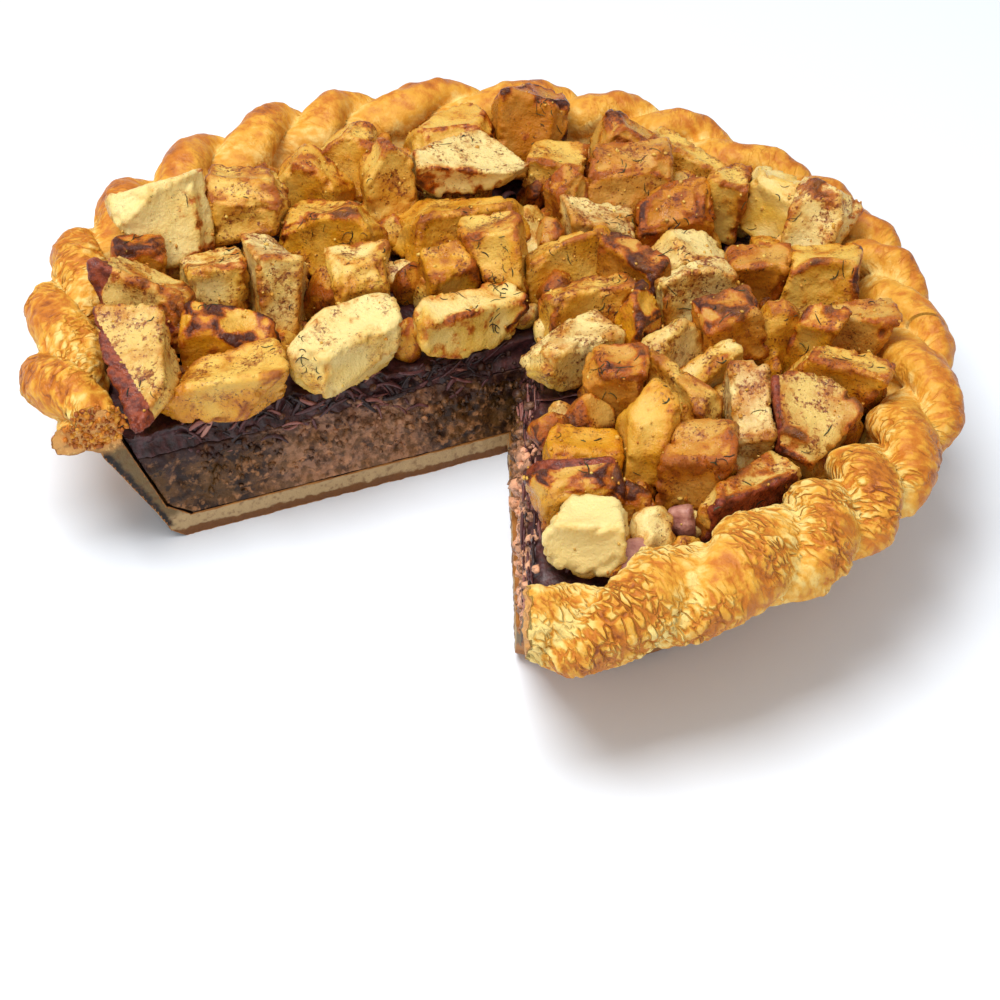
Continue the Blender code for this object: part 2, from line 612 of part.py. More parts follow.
def make_potatoes():
    """All the chunks of the heap, each clear of its neighbours and of the rim."""
    pieces = []
    for number, row in enumerate(POTATOES):
        x, y, low, length, width, height, turn, tip, lean, shape, _look = row
        draw = random.Random(number)
        size = Vector((length, width, height)) * CHUNK_SIZE * MM
        cuts = CUTS.get(number + 1, ())
        chips = 3 if shape == "cube" and not cuts else 1
        piece = rough_chunk(size, shape, chips, draw)
        tip += draw.uniform(-1.3, 0.7) * CHUNK_TILT
        lean += draw.uniform(-1, 1) * CHUNK_TILT
        place_chunk(piece, x * MM, y * MM, low * MM, turn, tip, lean, cuts)
        clear_rim(piece)
        pieces.append(piece)
    for number, one in enumerate(pieces):
        for two in pieces[number + 1:]:
            if (centre_of(two) - centre_of(one)).length < NEAR:
                part_pair(one, two)
    for number, (piece, row) in enumerate(zip(pieces, POTATOES), 1):
        name = f"potato_{number:02d}"
        bmesh.ops.dissolve_limit(piece, angle_limit=math.radians(5), verts=piece.verts,
                                 edges=piece.edges)
        bmesh.ops.remove_doubles(piece, verts=piece.verts, dist=0.5 * MM)
        bmesh.ops.recalc_face_normals(piece, faces=piece.faces)
        mesh = bpy.data.meshes.new(name)
        piece.to_mesh(mesh)
        piece.free()
        chunk = solid(name, mesh, row[-1])
        bevel = chunk.modifiers.new("soft edges", 'BEVEL')
        bevel.width = CHUNK_BEVEL
        bevel.segments = 1
        bevel.limit_method = 'ANGLE'
        bevel.angle_limit = math.radians(34)


clear_scene()
pie = collection("potato_topped_pie")
cutters = collection("cutters")

crust = make_case()
pastry_knife = wedge_knife("pastry_knife", smooth_recess, smooth_recess, CUT_REACH / 2)
boolean(crust, pastry_knife, 'DIFFERENCE')
filling_knife = wedge_knife("filling_knife", left_recess, right_recess, FACE_CELL)
make_meat(filling_knife)
make_onion(filling_knife)
make_potatoes()
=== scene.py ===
import math
import random

import bmesh
import bpy
import numpy as np
from mathutils import Matrix, Vector, noise
from mathutils.bvhtree import BVHTree
from mathutils.kdtree import KDTree


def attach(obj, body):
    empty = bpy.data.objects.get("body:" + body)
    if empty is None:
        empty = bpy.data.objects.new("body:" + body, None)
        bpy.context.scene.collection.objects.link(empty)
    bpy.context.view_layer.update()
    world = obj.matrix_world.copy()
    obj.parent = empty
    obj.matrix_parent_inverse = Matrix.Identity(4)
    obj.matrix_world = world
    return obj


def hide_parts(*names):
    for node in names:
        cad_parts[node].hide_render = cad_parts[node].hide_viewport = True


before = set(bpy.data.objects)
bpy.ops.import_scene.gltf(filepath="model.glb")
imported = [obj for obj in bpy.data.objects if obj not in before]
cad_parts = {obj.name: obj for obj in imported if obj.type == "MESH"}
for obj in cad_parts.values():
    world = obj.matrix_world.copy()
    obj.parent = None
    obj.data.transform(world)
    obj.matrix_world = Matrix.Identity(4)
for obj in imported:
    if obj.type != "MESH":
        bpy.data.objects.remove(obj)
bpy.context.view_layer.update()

# ---- the view ------------------------------------------------------------------------
# A table-top view from in front and above. The camera aims at the middle of the pie's base
# and is rolled a little, and a small lens shift puts the pie where it stands in the frame.
MM = 0.001
VIEW_DISTANCE = 635.6 * MM
VIEW_HEIGHT = math.radians(38.915)
VIEW_TURN = math.radians(-2.2)
VIEW_ROLL = math.radians(2.217)

lens = bpy.data.cameras.new("camera")
lens.sensor_width = 36
lens.lens = 79.16
lens.shift_x = 0.0162
lens.shift_y = -0.0456
camera = bpy.data.objects.new("camera", lens)
bpy.context.scene.collection.objects.link(camera)
camera.matrix_world = (
    Matrix.Rotation(VIEW_TURN, 4, 'Z')
    @ Matrix.Translation((0, -VIEW_DISTANCE * math.cos(VIEW_HEIGHT),
                          VIEW_DISTANCE * math.sin(VIEW_HEIGHT)))
    @ Matrix.Rotation(math.pi / 2 - VIEW_HEIGHT, 4, 'X')
    @ Matrix.Rotation(VIEW_ROLL, 4, 'Z'))
bpy.context.scene.camera = camera

# ---- the pastry case -----------------------------------------------------------------
# Shortcrust, baked in a deep round tin and turned out: a flat floor, a leaning wall, and a
# rope edge twisted from the overhang. It is glazed golden and flaky, with blisters and long
# scales most of all at the front.
FOOT_RADIUS = 94.5 * MM
BASE_RADIUS = 90 * MM
LIP_RADIUS = 112.5 * MM
LIP_HEIGHT = 36.5 * MM
FOOT_HEIGHT = 3 * MM
FLOOR_TOP = 7 * MM
FLOOR_RADIUS = 88.5 * MM
CORNER_RADIUS = 95.3 * MM
CORNER_HEIGHT = 12 * MM
MOUTH_RADIUS = 105.4 * MM
AXIS = 0.02 * MM                    # turned profiles start and end this close to the axis
ROPE_RADIUS = 118.3 * MM
ROPE_HEIGHT = 44.5 * MM
ROPE_HALF_WIDTH = 10 * MM
ROPE_HALF_HEIGHT = 8.2 * MM
STRAND_CRESTS = (-2, 12, 21, 31, 40, 55, 66, 79, 94, 110, 120, 134, 149, 163, 176, 193, 207,
                 221, 236, 251, 266, 281, 295, 310, 319, 329, 343)   # bearings in degrees
CREST_SHARE = 0.37
STRAND_DEPTH = 6.2 * MM
STRAND_LEAN = 0.72
# Bearing and spread in degrees, how much thicker, and how far in and up in millimetres.
RIM_CHANGES = ((203, 5, -0.28, 0, 0), (270, 4, -0.34, 0, 0), (195, 16, 0, 3, 0),
               (72, 34, 0, 0, 1.5), (280, 9, 0, 0, -4.5), (302, 30, 0.24, 2, 1.5),
               (345, 16, -0.10, -1, 0), (8, 10, 0, 1.5, 0), (47, 8, -0.05, 3, 0),
               (150, 13, 0, 2, 0))
SCALES_AT = (250, 266, 318, 358)    # bearings between which they come, and go again
WRINKLES_AT = (150, 172, 205, 215)
BURNT_AT = (205, 14)                # bearing and spread of the dark patch below the rope
CRUST_ROWS_PER_STRAND = 34
FOOT_TUCK = 10 * MM
TUCK_BEARING = 271
TUCK_WIDTH = 13
TUCK_FROM = 80 * MM
CUT_REACH = 190 * MM
CUT_POINT = np.array((7 * MM, 1.3 * MM, 0))
LEFT_BEARING = math.radians(203.3)
RIGHT_BEARING = math.radians(270)


def ramp(value, low, high):
    """0 below low, 1 above high, and smooth between, for a number or an array."""
    share = np.clip((value - low) / (high - low), 0, 1)
    return share * share * (3 - 2 * share)


def straight_ramp(value, low, high):
    """0 below low, 1 above high, and straight between."""
    return np.clip((value - low) / (high - low), 0, 1)


def lumps(places, size, seed=0):
    """Smooth irregular relief from -1 to 1 at many places, with lumps of the given size."""
    shift = Vector((seed * 7.3, seed * 3.1, seed * 5.7))
    return np.array([noise.noise(Vector(place) + shift) for place in places / size])


def cells(places, size, seed=0):
    """How far many places lie from the middles of the nearest grain and of the second."""
    shift = Vector((seed * 2.9, seed * 6.1, seed * 4.3))
    return np.array([noise.voronoi(Vector(place) + shift)[0][:2] for place in places / size])


def between(value, low, full, fading, gone):
    """0 outside a range, 1 well inside it, and smooth between."""
    return ramp(value, low, full) * (1 - ramp(value, fading, gone))


def swell(bearings, centre, width):
    """A smooth bump round the rim: 1 at a bearing in degrees, fading over a width."""
    away = (np.degrees(bearings) - centre + 180) % 360 - 180
    return np.exp(-(away / width) ** 2)


def wall_radius(height):
    """Outer radius of the case wall at a height."""
    return FOOT_RADIUS + (LIP_RADIUS - FOOT_RADIUS) * (height - FOOT_HEIGHT) / (
        LIP_HEIGHT - FOOT_HEIGHT)


def mouth_radius(height):
    """Inner radius of the case wall at a height above its rounded corner."""
    return CORNER_RADIUS + (MOUTH_RADIUS - CORNER_RADIUS) * (height - CORNER_HEIGHT) / (
        LIP_HEIGHT - CORNER_HEIGHT)


def foot_tuck(places):
    """How far points of the case or of the meat lie in, by the front end of the cut."""
    away = np.hypot(places[:, 0], places[:, 1])
    share = swell(np.arctan2(places[:, 1], places[:, 0]), TUCK_BEARING, TUCK_WIDTH)
    low = 1 - straight_ramp(places[:, 2], CORNER_HEIGHT, 2 * CORNER_HEIGHT)
    return FOOT_TUCK * share * low * (away >= TUCK_FROM)


def tucked(places, share=1):
    """The places once the foot of the case is drawn in by the front end of the cut."""
    level = places * (1, 1, 0)
    level /= np.maximum(np.linalg.norm(level, axis=1), 1e-9)[:, None]
    return places - level * share * foot_tuck(places)[:, None]


def run(start, end, count):
    """Points from a start, up to but not at an end, at even steps."""
    return [np.array(start) + (np.array(end) - np.array(start)) * i / count
            for i in range(count)]


def set_attribute(mesh, name, values):
    """Store one number for each point of a mesh, for its material to read."""
    layer = mesh.attributes.new(name, 'FLOAT', 'POINT')
    layer.data.foreach_set("value", np.asarray(values, dtype=np.float32))


def points_of(mesh):
    """The places of a mesh's points, as an array."""
    places = np.empty(len(mesh.vertices) * 3)
    mesh.vertices.foreach_get("co", places)
    return places.reshape(-1, 3)


def set_vector(mesh, name, values):
    """Store one vector for each point of a mesh, for its material to read."""
    layer = mesh.attributes.new(name, 'FLOAT_VECTOR', 'POINT')
    layer.data.foreach_set("vector", np.asarray(values, dtype=np.float32).ravel())


def normals_of(mesh):
    """The normals at a mesh's points, as an array."""
    normals = np.empty(len(mesh.vertices) * 3)
    mesh.vertex_normals.foreach_get("vector", normals)
    return normals.reshape(-1, 3)


def move_points(mesh, places):
    """Put a mesh's points at new places."""
    mesh.vertices.foreach_set("co", places.ravel())
    mesh.update()


def place(name, mesh):
    """A new object in the scene with a mesh."""
    made = bpy.data.objects.new(name, mesh)
    bpy.context.scene.collection.objects.link(made)
    return made


def coat(made, material):
    """Give a piece its one material. It rides on the pie."""
    made.data.materials.clear()
    made.data.materials.append(material)
    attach(made, "root")


def freeze(made):
    """Turn an object's modifiers into its mesh."""
    bpy.context.view_layer.update()
    evaluated = made.evaluated_get(bpy.context.evaluated_depsgraph_get())
    mesh = bpy.data.meshes.new_from_object(evaluated)
    made.modifiers.clear()
    made.data = mesh
    return made


def boolean(made, other, operation):
    """Cut a solid with another, or keep what both fill. The other is used up."""
    modifier = made.modifiers.new(operation.lower(), 'BOOLEAN')
    modifier.operation = operation
    modifier.object = other
    modifier.solver = 'MANIFOLD'
    freeze(made)
    bpy.data.objects.remove(other)
    return made


def grid_mesh(name, places, closed=False):
    """A mesh of rows and columns of points: a sheet, or closed round both ways."""
    rows, columns = places.shape[:2]
    index = np.arange(rows * columns).reshape(rows, columns)
    if closed:
        index = np.hstack([np.vstack([index, index[:1]]), np.vstack([index, index[:1]])[:, :1]])
    quads = np.stack([index[:-1, :-1], index[:-1, 1:], index[1:, 1:], index[1:, :-1]], -1)
    mesh = bpy.data.meshes.new(name)
    mesh.from_pydata(places.reshape(-1, 3).tolist(), [], quads.reshape(-1, 4).tolist())
    return mesh


def strand_place(bearings, lean):
    """Which strand of the rope lies at a bearing, and how far across it, from 0 to 1."""
    count = len(STRAND_CRESTS)
    crests = np.array(STRAND_CRESTS[-1:] + STRAND_CRESTS + STRAND_CRESTS[:1], float)
    crests[0] -= 360
    crests[-1] += 360
    degrees = (np.degrees(bearings) - STRAND_CRESTS[0]) % 360 + STRAND_CRESTS[0]
    phase = np.interp(degrees, crests, np.arange(-1, count + 1)) + CREST_SHARE - lean
    strand = np.floor(phase)
    return strand % count, phase - strand


def case_points():
    """Floor from near the axis out, inner wall up, over the rope, outer wall down, base."""
    points = run((AXIS, FLOOR_TOP), (FLOOR_RADIUS, FLOOR_TOP), 4)
    points += run((FLOOR_RADIUS, FLOOR_TOP), (CORNER_RADIUS, CORNER_HEIGHT), 3)
    points += run((CORNER_RADIUS, CORNER_HEIGHT), (mouth_radius(LIP_HEIGHT), LIP_HEIGHT), 8)
    first = math.radians(198)
    rope = [(ROPE_RADIUS + ROPE_HALF_WIDTH * math.cos(first - turn),
             ROPE_HEIGHT + ROPE_HALF_HEIGHT * math.sin(first - turn))
            for turn in np.linspace(0, math.radians(300), 66)]
    points += run((mouth_radius(LIP_HEIGHT), LIP_HEIGHT), rope[0], 5) + rope[:-1]
    points += run(rope[-1], (wall_radius(LIP_HEIGHT - 1.5 * MM), LIP_HEIGHT - 1.5 * MM), 3)
    points += run((wall_radius(LIP_HEIGHT - 1.5 * MM), LIP_HEIGHT - 1.5 * MM),
                  (wall_radius(FOOT_HEIGHT), FOOT_HEIGHT), 24)
    points += run((wall_radius(FOOT_HEIGHT), FOOT_HEIGHT), (BASE_RADIUS, 0), 4)
    points += run((BASE_RADIUS, 0), (AXIS, 0), 4) + [np.array((AXIS, 0))]
    return np.array(points)


def make_crust():
    """The pastry case with its rope edge, whole, with what its material needs to know."""
    profile = case_points()
    rows = CRUST_ROWS_PER_STRAND * len(STRAND_CRESTS)
    bearings = np.repeat(np.arange(rows) * 2 * math.pi / rows, len(profile))
    radius = np.tile(profile[:, 0], rows)
    height = np.tile(profile[:, 1], rows)
    plain = np.stack([radius * np.cos(bearings), radius * np.sin(bearings), height], -1)

    outer = radius > (mouth_radius(height) + wall_radius(height)) / 2
    hold = straight_ramp(height, np.where(outer, 34 * MM, LIP_HEIGHT), 40 * MM)
    across = np.stack([radius - ROPE_RADIUS, height - ROPE_HEIGHT], -1)
    section = np.arctan2(across[:, 1], across[:, 0])
    section += np.where((section < 0) & ~outer, 2 * math.pi, 0)
    lean = STRAND_LEAN * straight_ramp(height, 6 * MM, 38 * MM) * section / math.pi
    strand, along = strand_place(bearings, lean)

    plumps = [1 + 0.3 * noise.noise(Vector((one * 1.7, 4.2, 0.3)))
              for one in range(len(STRAND_CRESTS))]
    plump = np.array(plumps)[strand.astype(int)]
    crest = plump * np.sin(math.pi * along ** 0.7)
    full = 1 - 0.4 * swell(bearings, 296, 30)
    lobe = STRAND_DEPTH * full * (crest - 0.9) + (0.15 * STRAND_DEPTH
                                                  + 1.2 * MM * lumps(plain, 9 * MM, 3))
    grow = lobe / np.maximum(np.linalg.norm(across, axis=1), 1 * MM)
    in_by = np.zeros_like(grow)
    up_by = np.zeros_like(grow)
    for where, width, thicker, inward, upward in RIM_CHANGES:
        share = swell(bearings, where, width)
        grow += share * thicker
        in_by += share * inward * MM
        up_by += share * upward * MM
    radius = radius + hold * (across[:, 0] * grow - in_by)
    height = height + hold * (across[:, 1] * grow + up_by)
    wall = outer & (hold == 0) & (height > 0)
    radius = radius + wall * 0.7 * MM * lumps(plain, 12 * MM, 8)
    places = tucked(np.stack([radius * np.cos(bearings), radius * np.sin(bearings), height], -1))
    mesh = grid_mesh("crust", places.reshape(rows, len(profile), 3), closed=True)

    # Blisters stand on the front of the edge as long scales, on the left as wrinkles, and
    # faintly all round.
    degrees = np.degrees(bearings)
    scaly = between(degrees, *SCALES_AT)
    wrinkled = between(degrees, *WRINKLES_AT)
    inner = 0.7 * ROPE_RADIUS
    unrolled = np.stack([inner * np.cos(bearings), inner * np.sin(bearings),
                         section * 5.6 * MM + 0.4 * ROPE_RADIUS * bearings], -1)
    sway = np.stack([lumps(plain, 3.5 * MM, seed) for seed in (11, 12, 13)], -1)
    near, second = cells(unrolled + 1.2 * MM * sway, 2.6 * MM, 4).T
    scale = ramp(second - near, 0.0, 0.5)
    wrinkle = lumps((unrolled + 2.5 * MM * sway) * (1, 1, 2.6), 2.6 * MM, 9)
    patchy = straight_ramp(lumps(plain, 12 * MM, 17), -0.45, 0.15)
    relief = (scaly * (0.4 + 0.6 * patchy) * 0.85 * MM * (scale - 0.6)
              + wrinkled * (0.35 + 0.65 * patchy) * 0.8 * MM * wrinkle
              + 0.30 * MM * lumps(plain, 2.4 * MM, 18) + 0.7 * MM * lumps(plain, 5.5 * MM, 19))
    move_points(mesh, places + normals_of(mesh) * (hold * relief)[:, None])

    outward = 0.5 + 0.5 * np.cos(section - 0.6)
    brown = (0.1 + 0.75 * outward * straight_ramp(crest, 0.1, 0.95)
             + 0.35 * lumps(plain, 10 * MM, 20) + 0.2 * lumps(plain, 4 * MM, 21))
    brown -= 0.5 * swell(bearings, 271, 4)
    brown += 0.22 * (1 - swell(bearings, 292, 36))
    bumps = (0.5 * scaly * (scale - 0.6) + wrinkled * wrinkle * 0.8
             + 0.5 * lumps(plain, 2.4 * MM, 18))
    set_attribute(mesh, "blister", 0.5 + hold * bumps)
    flaky = np.maximum(scaly * (0.2 + 0.8 * patchy), (0.25 + 0.35 * wrinkled) * patchy)
    set_attribute(mesh, "scaly", hold * flaky)
    set_vector(mesh, "unrolled", unrolled)
    set_attribute(mesh, "brown", brown)
    set_attribute(mesh, "rope", hold)
    set_attribute(mesh, "char", swell(bearings, *BURNT_AT))
    set_attribute(mesh, "cut", 0 * hold)
    return mesh


def bearing_vector(bearing):
    """Level unit vector at a bearing."""
    return np.array((math.cos(bearing), math.sin(bearing), 0))


def face_places(bearing, side, along, up, depth):
    """Places given along a side of the cut, up, and how deep past its plane into the pie."""
    out = bearing_vector(bearing)
    into = side * np.cross((0, 0, 1), out)
    return (CUT_POINT + np.outer(along, out) + np.outer(depth, into)
            + np.outer(up, (0, 0, 1)))


def block(columns, rows):
    """A mesh from -0.5 to 0.5 both ways, gridded at height 0 and again at height -1."""
    grid = bmesh.new()
    bmesh.ops.create_grid(grid, x_segments=columns, y_segments=rows, size=0.5)
    under = bmesh.ops.extrude_face_region(grid, geom=list(grid.faces))["geom"]
    for item in under:
        if isinstance(item, bmesh.types.BMVert):
            item.co.z = -1
    bmesh.ops.recalc_face_normals(grid, faces=grid.faces)
    mesh = bpy.data.meshes.new("block")
    grid.to_mesh(mesh)
    grid.free()
    return mesh


def slab(bearing, side, recess, height, cell):
    """A thick slab with a gridded face along one side of the cut, on the missing side."""
    mesh = block(round(CUT_REACH / cell), round(height / cell))
    across, tall, deep = points_of(mesh).T
    along = (across + 0.5) * CUT_REACH - 40 * MM
    up = (tall + 0.5) * height - height / 8
    depth = np.where(deep < -0.5, -CUT_REACH, recess(along, up))
    move_points(mesh, face_places(bearing, side, along, up, depth))
    if side > 0:
        mesh.flip_normals()
    set_attribute(mesh, "cut", np.ones(len(along)))
    return place("knife", mesh)


def wedge_knife(left, right, cell):
    """The shape of the missing wedge, between a left and a right face."""
    knife = slab(LEFT_BEARING, -1, left, 68 * MM, cell)
    return boolean(knife, slab(RIGHT_BEARING, 1, right, 76 * MM, cell), 'INTERSECT')


def pastry_recess(along, up):
    """The pastry is cut clean with a fine crumb, and is torn at the rope edge."""
    spots = np.stack([along, up, 0 * along], -1)
    torn = ramp(up, 36 * MM, 41 * MM)
    fine = 0.25 * MM * lumps(spots, 1.1 * MM, 31) + 0.4 * MM * lumps(spots, 3 * MM, 32)
    return fine + torn * MM * (1.6 * lumps(spots, 4 * MM, 33) + 0.9 * lumps(spots, 1.7 * MM, 34))


class Value:
    """A socket in a material's node tree, so that sums can be written as Python."""

    def __init__(self, finish, socket):
        self.finish = finish
        self.socket = socket

    def math(self, operation, *others):
        sockets = dict(enumerate((self,) + others))
        return self.finish.node('ShaderNodeMath', sockets, operation=operation)

    def __add__(self, other): return self.math('ADD', other)
    def __radd__(self, other): return self.math('ADD', other)
    def __mul__(self, other): return self.math('MULTIPLY', other)
    def __rmul__(self, other): return self.math('MULTIPLY', other)
    def __sub__(self, other): return self.math('SUBTRACT', other)
    def __rsub__(self, other): return (self * -1) + other
    def __truediv__(self, other): return self.math('DIVIDE', other)

    def rise(self, low, high):
        """0 below low, 1 above high, and smooth between."""
        return self.finish.node('ShaderNodeMapRange', {
            "Value": self, "From Min": low, "From Max": high}, interpolation_type='SMOOTHSTEP')


class Finish:
    """A material and the few ways that its nodes are added."""

    def __init__(self, name):
        self.material = bpy.data.materials.new(name)
        self.material.use_nodes = True
        self.tree = self.material.node_tree
        self.shader = self.tree.nodes["Principled BSDF"]
        self.place = self.node('ShaderNodeTexCoord', output="Object")

    def set(self, node, sockets):
        """Give a node's sockets their values or links."""
        for key, value in sockets.items():
            socket = node.inputs[key]
            if isinstance(value, Value):
                self.tree.links.new(value.socket, socket)
            else:
                socket.default_value = value

    def node(self, kind, sockets=None, output=0, **settings):
        """A new node of a kind, with its settings and its sockets' values or links."""
        node = self.tree.nodes.new(kind)
        for key, value in settings.items():
            setattr(node, key, value)
        self.set(node, sockets or {})
        return Value(self, node.outputs[output])

    def attribute(self, name, kind="Fac"):
        """A number, or a vector, that the mesh stores for each point."""
        return self.node('ShaderNodeAttribute', output=kind, attribute_name=name)

    def scales(self, place, size, bend):
        """How far each spot lies from the edge of its scale, in packed scales of a size."""
        shake = self.node('ShaderNodeTexNoise', {"Vector": place, "Scale": 1 / bend}, "Color")
        shake = self.node('ShaderNodeVectorMath', {0: shake, 1: (bend, bend, bend), 2: place},
                          operation='MULTIPLY_ADD')
        return self.node('ShaderNodeTexVoronoi', {"Vector": shake, "Scale": 1 / size},
                         feature='DISTANCE_TO_EDGE')

    def up_from(self, height):
        """Height above a level."""
        parts = self.tree.nodes.new('ShaderNodeSeparateXYZ')
        self.set(parts, {0: self.place})
        return Value(self, parts.outputs["Z"]) - height

    def mix(self, share, one, two, blend='MIX'):
        """A colour that goes from one to two."""
        node = self.tree.nodes.new('ShaderNodeMix')
        node.data_type = 'RGBA'
        node.blend_type = blend
        self.set(node, {0: share, 6: one, 7: two})
        return Value(self, node.outputs[2])

    def noise(self, size, detail=3, roughness=0.55, seed=0, stretch=(1, 1, 1)):
        """Irregular patches of a size in metres, mostly between 0.3 and 0.7."""
        spot = self.node('ShaderNodeMapping', {
            "Vector": self.place, "Location": (seed * 0.13, seed * 0.29, seed * 0.07),
            "Scale": [each / size for each in stretch]})
        return self.node('ShaderNodeTexNoise', {
            "Vector": spot, "Scale": 1, "Detail": detail, "Roughness": roughness})

    def finish_with(self, colour, roughness, height=None, depth=0.3 * MM, **fixed):
        """Wire up the shader: colour, roughness, fine relief, and its fixed values."""
        sockets = {"Base Color": colour, "Roughness": roughness}
        if height is not None:
            sockets["Normal"] = self.node('ShaderNodeBump', {
                "Height": height, "Distance": depth, "Strength": 1})
        self.set(self.shader, sockets)
        for key, value in fixed.items():
            self.shader.inputs[key.replace("_", " ")].default_value = value
        return self.material


def shade(red, green, blue):
    """A colour as a photograph gives it, from 0 to 255, as the light that it stands for."""
    return tuple((each / 255) ** 2.2 for each in (red, green, blue)) + (1,)


crust = place("rope_crust", make_crust())
boolean(crust, wedge_knife(pastry_recess, pastry_recess, 0.75 * MM), 'DIFFERENCE')
spots = points_of(crust.data)
set_attribute(crust.data, "deep", (wall_radius(spots[:, 2]) - np.hypot(*spots[:, :2].T)) / MM)
crust.data.shade_smooth()

baked = Finish("baked_pastry")
coarse = baked.scales(baked.attribute("unrolled", "Vector"), 2.7 * MM, 5 * MM).rise(0, 0.2)
small = baked.scales(baked.attribute("unrolled", "Vector"), 1.5 * MM, 3 * MM).rise(0, 0.22)
broken = baked.noise(5 * MM, 3, seed=14).rise(0.42, 0.58)
dome = coarse + (small - coarse) * broken
scaly = baked.attribute("scaly")
high = (baked.attribute("blister") + (baked.noise(1.1 * MM, 3, seed=8) - 0.5) * 0.5
        + (dome - 0.75) * scaly * 1.0)
brown = baked.attribute("brown") + (baked.noise(2 * MM, 5, 0.65, seed=1) - 0.5) * 0.8
brown = brown - scaly * 0.25
valley = 0.5 - high
tan = baked.mix((brown + valley * 0.7).rise(-0.1, 0.55), shade(246, 212, 126),
                shade(228, 162, 54))
tan = baked.mix((brown + valley * 0.9).rise(0.45, 1.1), tan, shade(200, 116, 30))
tan = baked.mix((brown + valley * 0.7).rise(1.0, 1.6), tan, shade(138, 68, 20))
below = baked.mix(baked.noise(4 * MM, 5, 0.65, seed=2).rise(0.25, 0.8), shade(184, 124, 62),
                  shade(142, 86, 38))
below = baked.mix(baked.attribute("char").rise(0.25, 0.7) * baked.noise(5 * MM, seed=3).rise(
    0.3, 0.5), below, shade(36, 22, 14))
outside = baked.mix(baked.attribute("rope").rise(0, 0.35), below, tan)
low = baked.up_from(0) + (baked.noise(4 * MM, 4, seed=4) - 0.5) * (3.6 * MM)
inside = baked.mix(low.rise(2.2 * MM, 3.0 * MM), shade(118, 74, 36), shade(184, 154, 110))
inside = baked.mix(low.rise(7 * MM, 10 * MM), inside, shade(112, 90, 56))
edge = baked.attribute("deep") + (baked.noise(2.5 * MM, seed=10) - 0.5) * 3
inside = baked.mix((1 - edge.rise(1.5, 3.2)) * low.rise(3 * MM, 6 * MM), inside,
                   shade(30, 18, 10))
inside = baked.mix(low.rise(34 * MM, 38 * MM), inside, shade(222, 158, 84))
inside = baked.mix(baked.noise(1.6 * MM, seed=5).rise(0.5, 0.7) * 0.5, inside,
                   shade(104, 62, 28))
inside = baked.mix(baked.noise(1.1 * MM, seed=9).rise(0.58, 0.68) * low.rise(34 * MM, 38 * MM),
                   inside, shade(240, 190, 110))
colour = baked.mix(baked.attribute("cut").rise(0.3, 0.8), outside, inside)
fine = baked.noise(0.9 * MM, 4, seed=6) + baked.noise(0.35 * MM, 2, seed=7) * 0.4
fine = fine * 0.6 + dome * scaly * 1.6
coat(crust, baked.finish_with(colour, 0.62 - brown.rise(0.3, 1.2) * 0.22, fine, 0.4 * MM,
                              Specular_IOR_Level=0.4))
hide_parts("crust")

# ---- the meat ------------------------------------------------------------------------
# Loose cooked mince packed on the floor of the case. It only shows at the two cut faces:
# the left one stands straight and crumbles, the right one leans back.
MEAT_TOP = 28.8 * MM
ONION_TOP = 36.2 * MM
GAP = 0.4 * MM
WALL_GAP = 0.8 * MM
MEAT_CRUMBLE = 1.7 * MM


def billows(spots, seed):
    """How deep the grain of a cut face of mince lies: round crumbs with creases between."""
    return MM * (0.8 - 1.2 * np.abs(lumps(spots, 5 * MM, seed))
                 - 1.3 * np.abs(lumps(spots, 2.4 * MM, seed + 0.3))
                 - 0.8 * np.abs(lumps(spots, 1.3 * MM, seed + 0.6)))


def left_recess(along, up):
    """The left face stands straight, crumbles most of all in its middle, and sinks in a
    little at the onion. Its foot sits on the pastry base."""
    spots = np.stack([along, up * 1.2, 0 * along], -1)
    loose = 0.15 + 0.85 * straight_ramp(lumps(spots, 20 * MM, 22), -0.3, 0.2)
    middle = between(along, 12 * MM, 26 * MM, 56 * MM, 72 * MM)
    grain = (loose + 0.9 * middle) * billows(spots, 21)
    foot = straight_ramp(up, FLOOR_TOP, FLOOR_TOP + 3 * MM)
    return (foot * (grain + MEAT_CRUMBLE * lumps(spots, 7 * MM, 1) + 1 * MM)
            + 2 * MM * straight_ramp(up, MEAT_TOP, MEAT_TOP + 3 * MM))


def right_recess(along, up):
    """The right face leans back, most of all near the point of the cut."""
    spots = np.stack([along, up * 1.2, 0 * along], -1)
    share = 1 - 0.55 * straight_ramp(along, 20 * MM, 90 * MM)
    lean = (2.5 * MM * straight_ramp(up, FLOOR_TOP, MEAT_TOP)
            + 5 * MM * straight_ramp(up, MEAT_TOP, ONION_TOP))
    return billows(spots, 24) + MEAT_CRUMBLE * lumps(spots, 7 * MM, 2) + 1 * MM + share * lean


def pale_and_painted_light(spots):
    """How pale the meat is drawn: on the right face, from pale crumbs and from painted light that
    brightens that face, and a little in the middle of the left one.
    """
    right_face_pale_and_lit = ramp(-spots[:, 1], 10 * MM, 40 * MM) * (spots[:, 0] > -20 * MM)
    left_middle = ramp(spots[:, 0], -68 * MM, -48 * MM) * ramp(-spots[:, 0], 8 * MM, 24 * MM)
    return np.maximum(right_face_pale_and_lit, 0.3 * left_middle)


def turned(name, profile, steps):
    """A solid turned about the Z axis from a profile that starts and ends near the axis."""
    turns = np.arange(steps) * 2 * math.pi / steps
    radius, height = np.array(profile).T
    places = np.stack([np.outer(np.cos(turns), radius), np.outer(np.sin(turns), radius),
                       np.outer(np.ones(steps), height)], -1)
    return place(name, grid_mesh(name, places, closed=True))


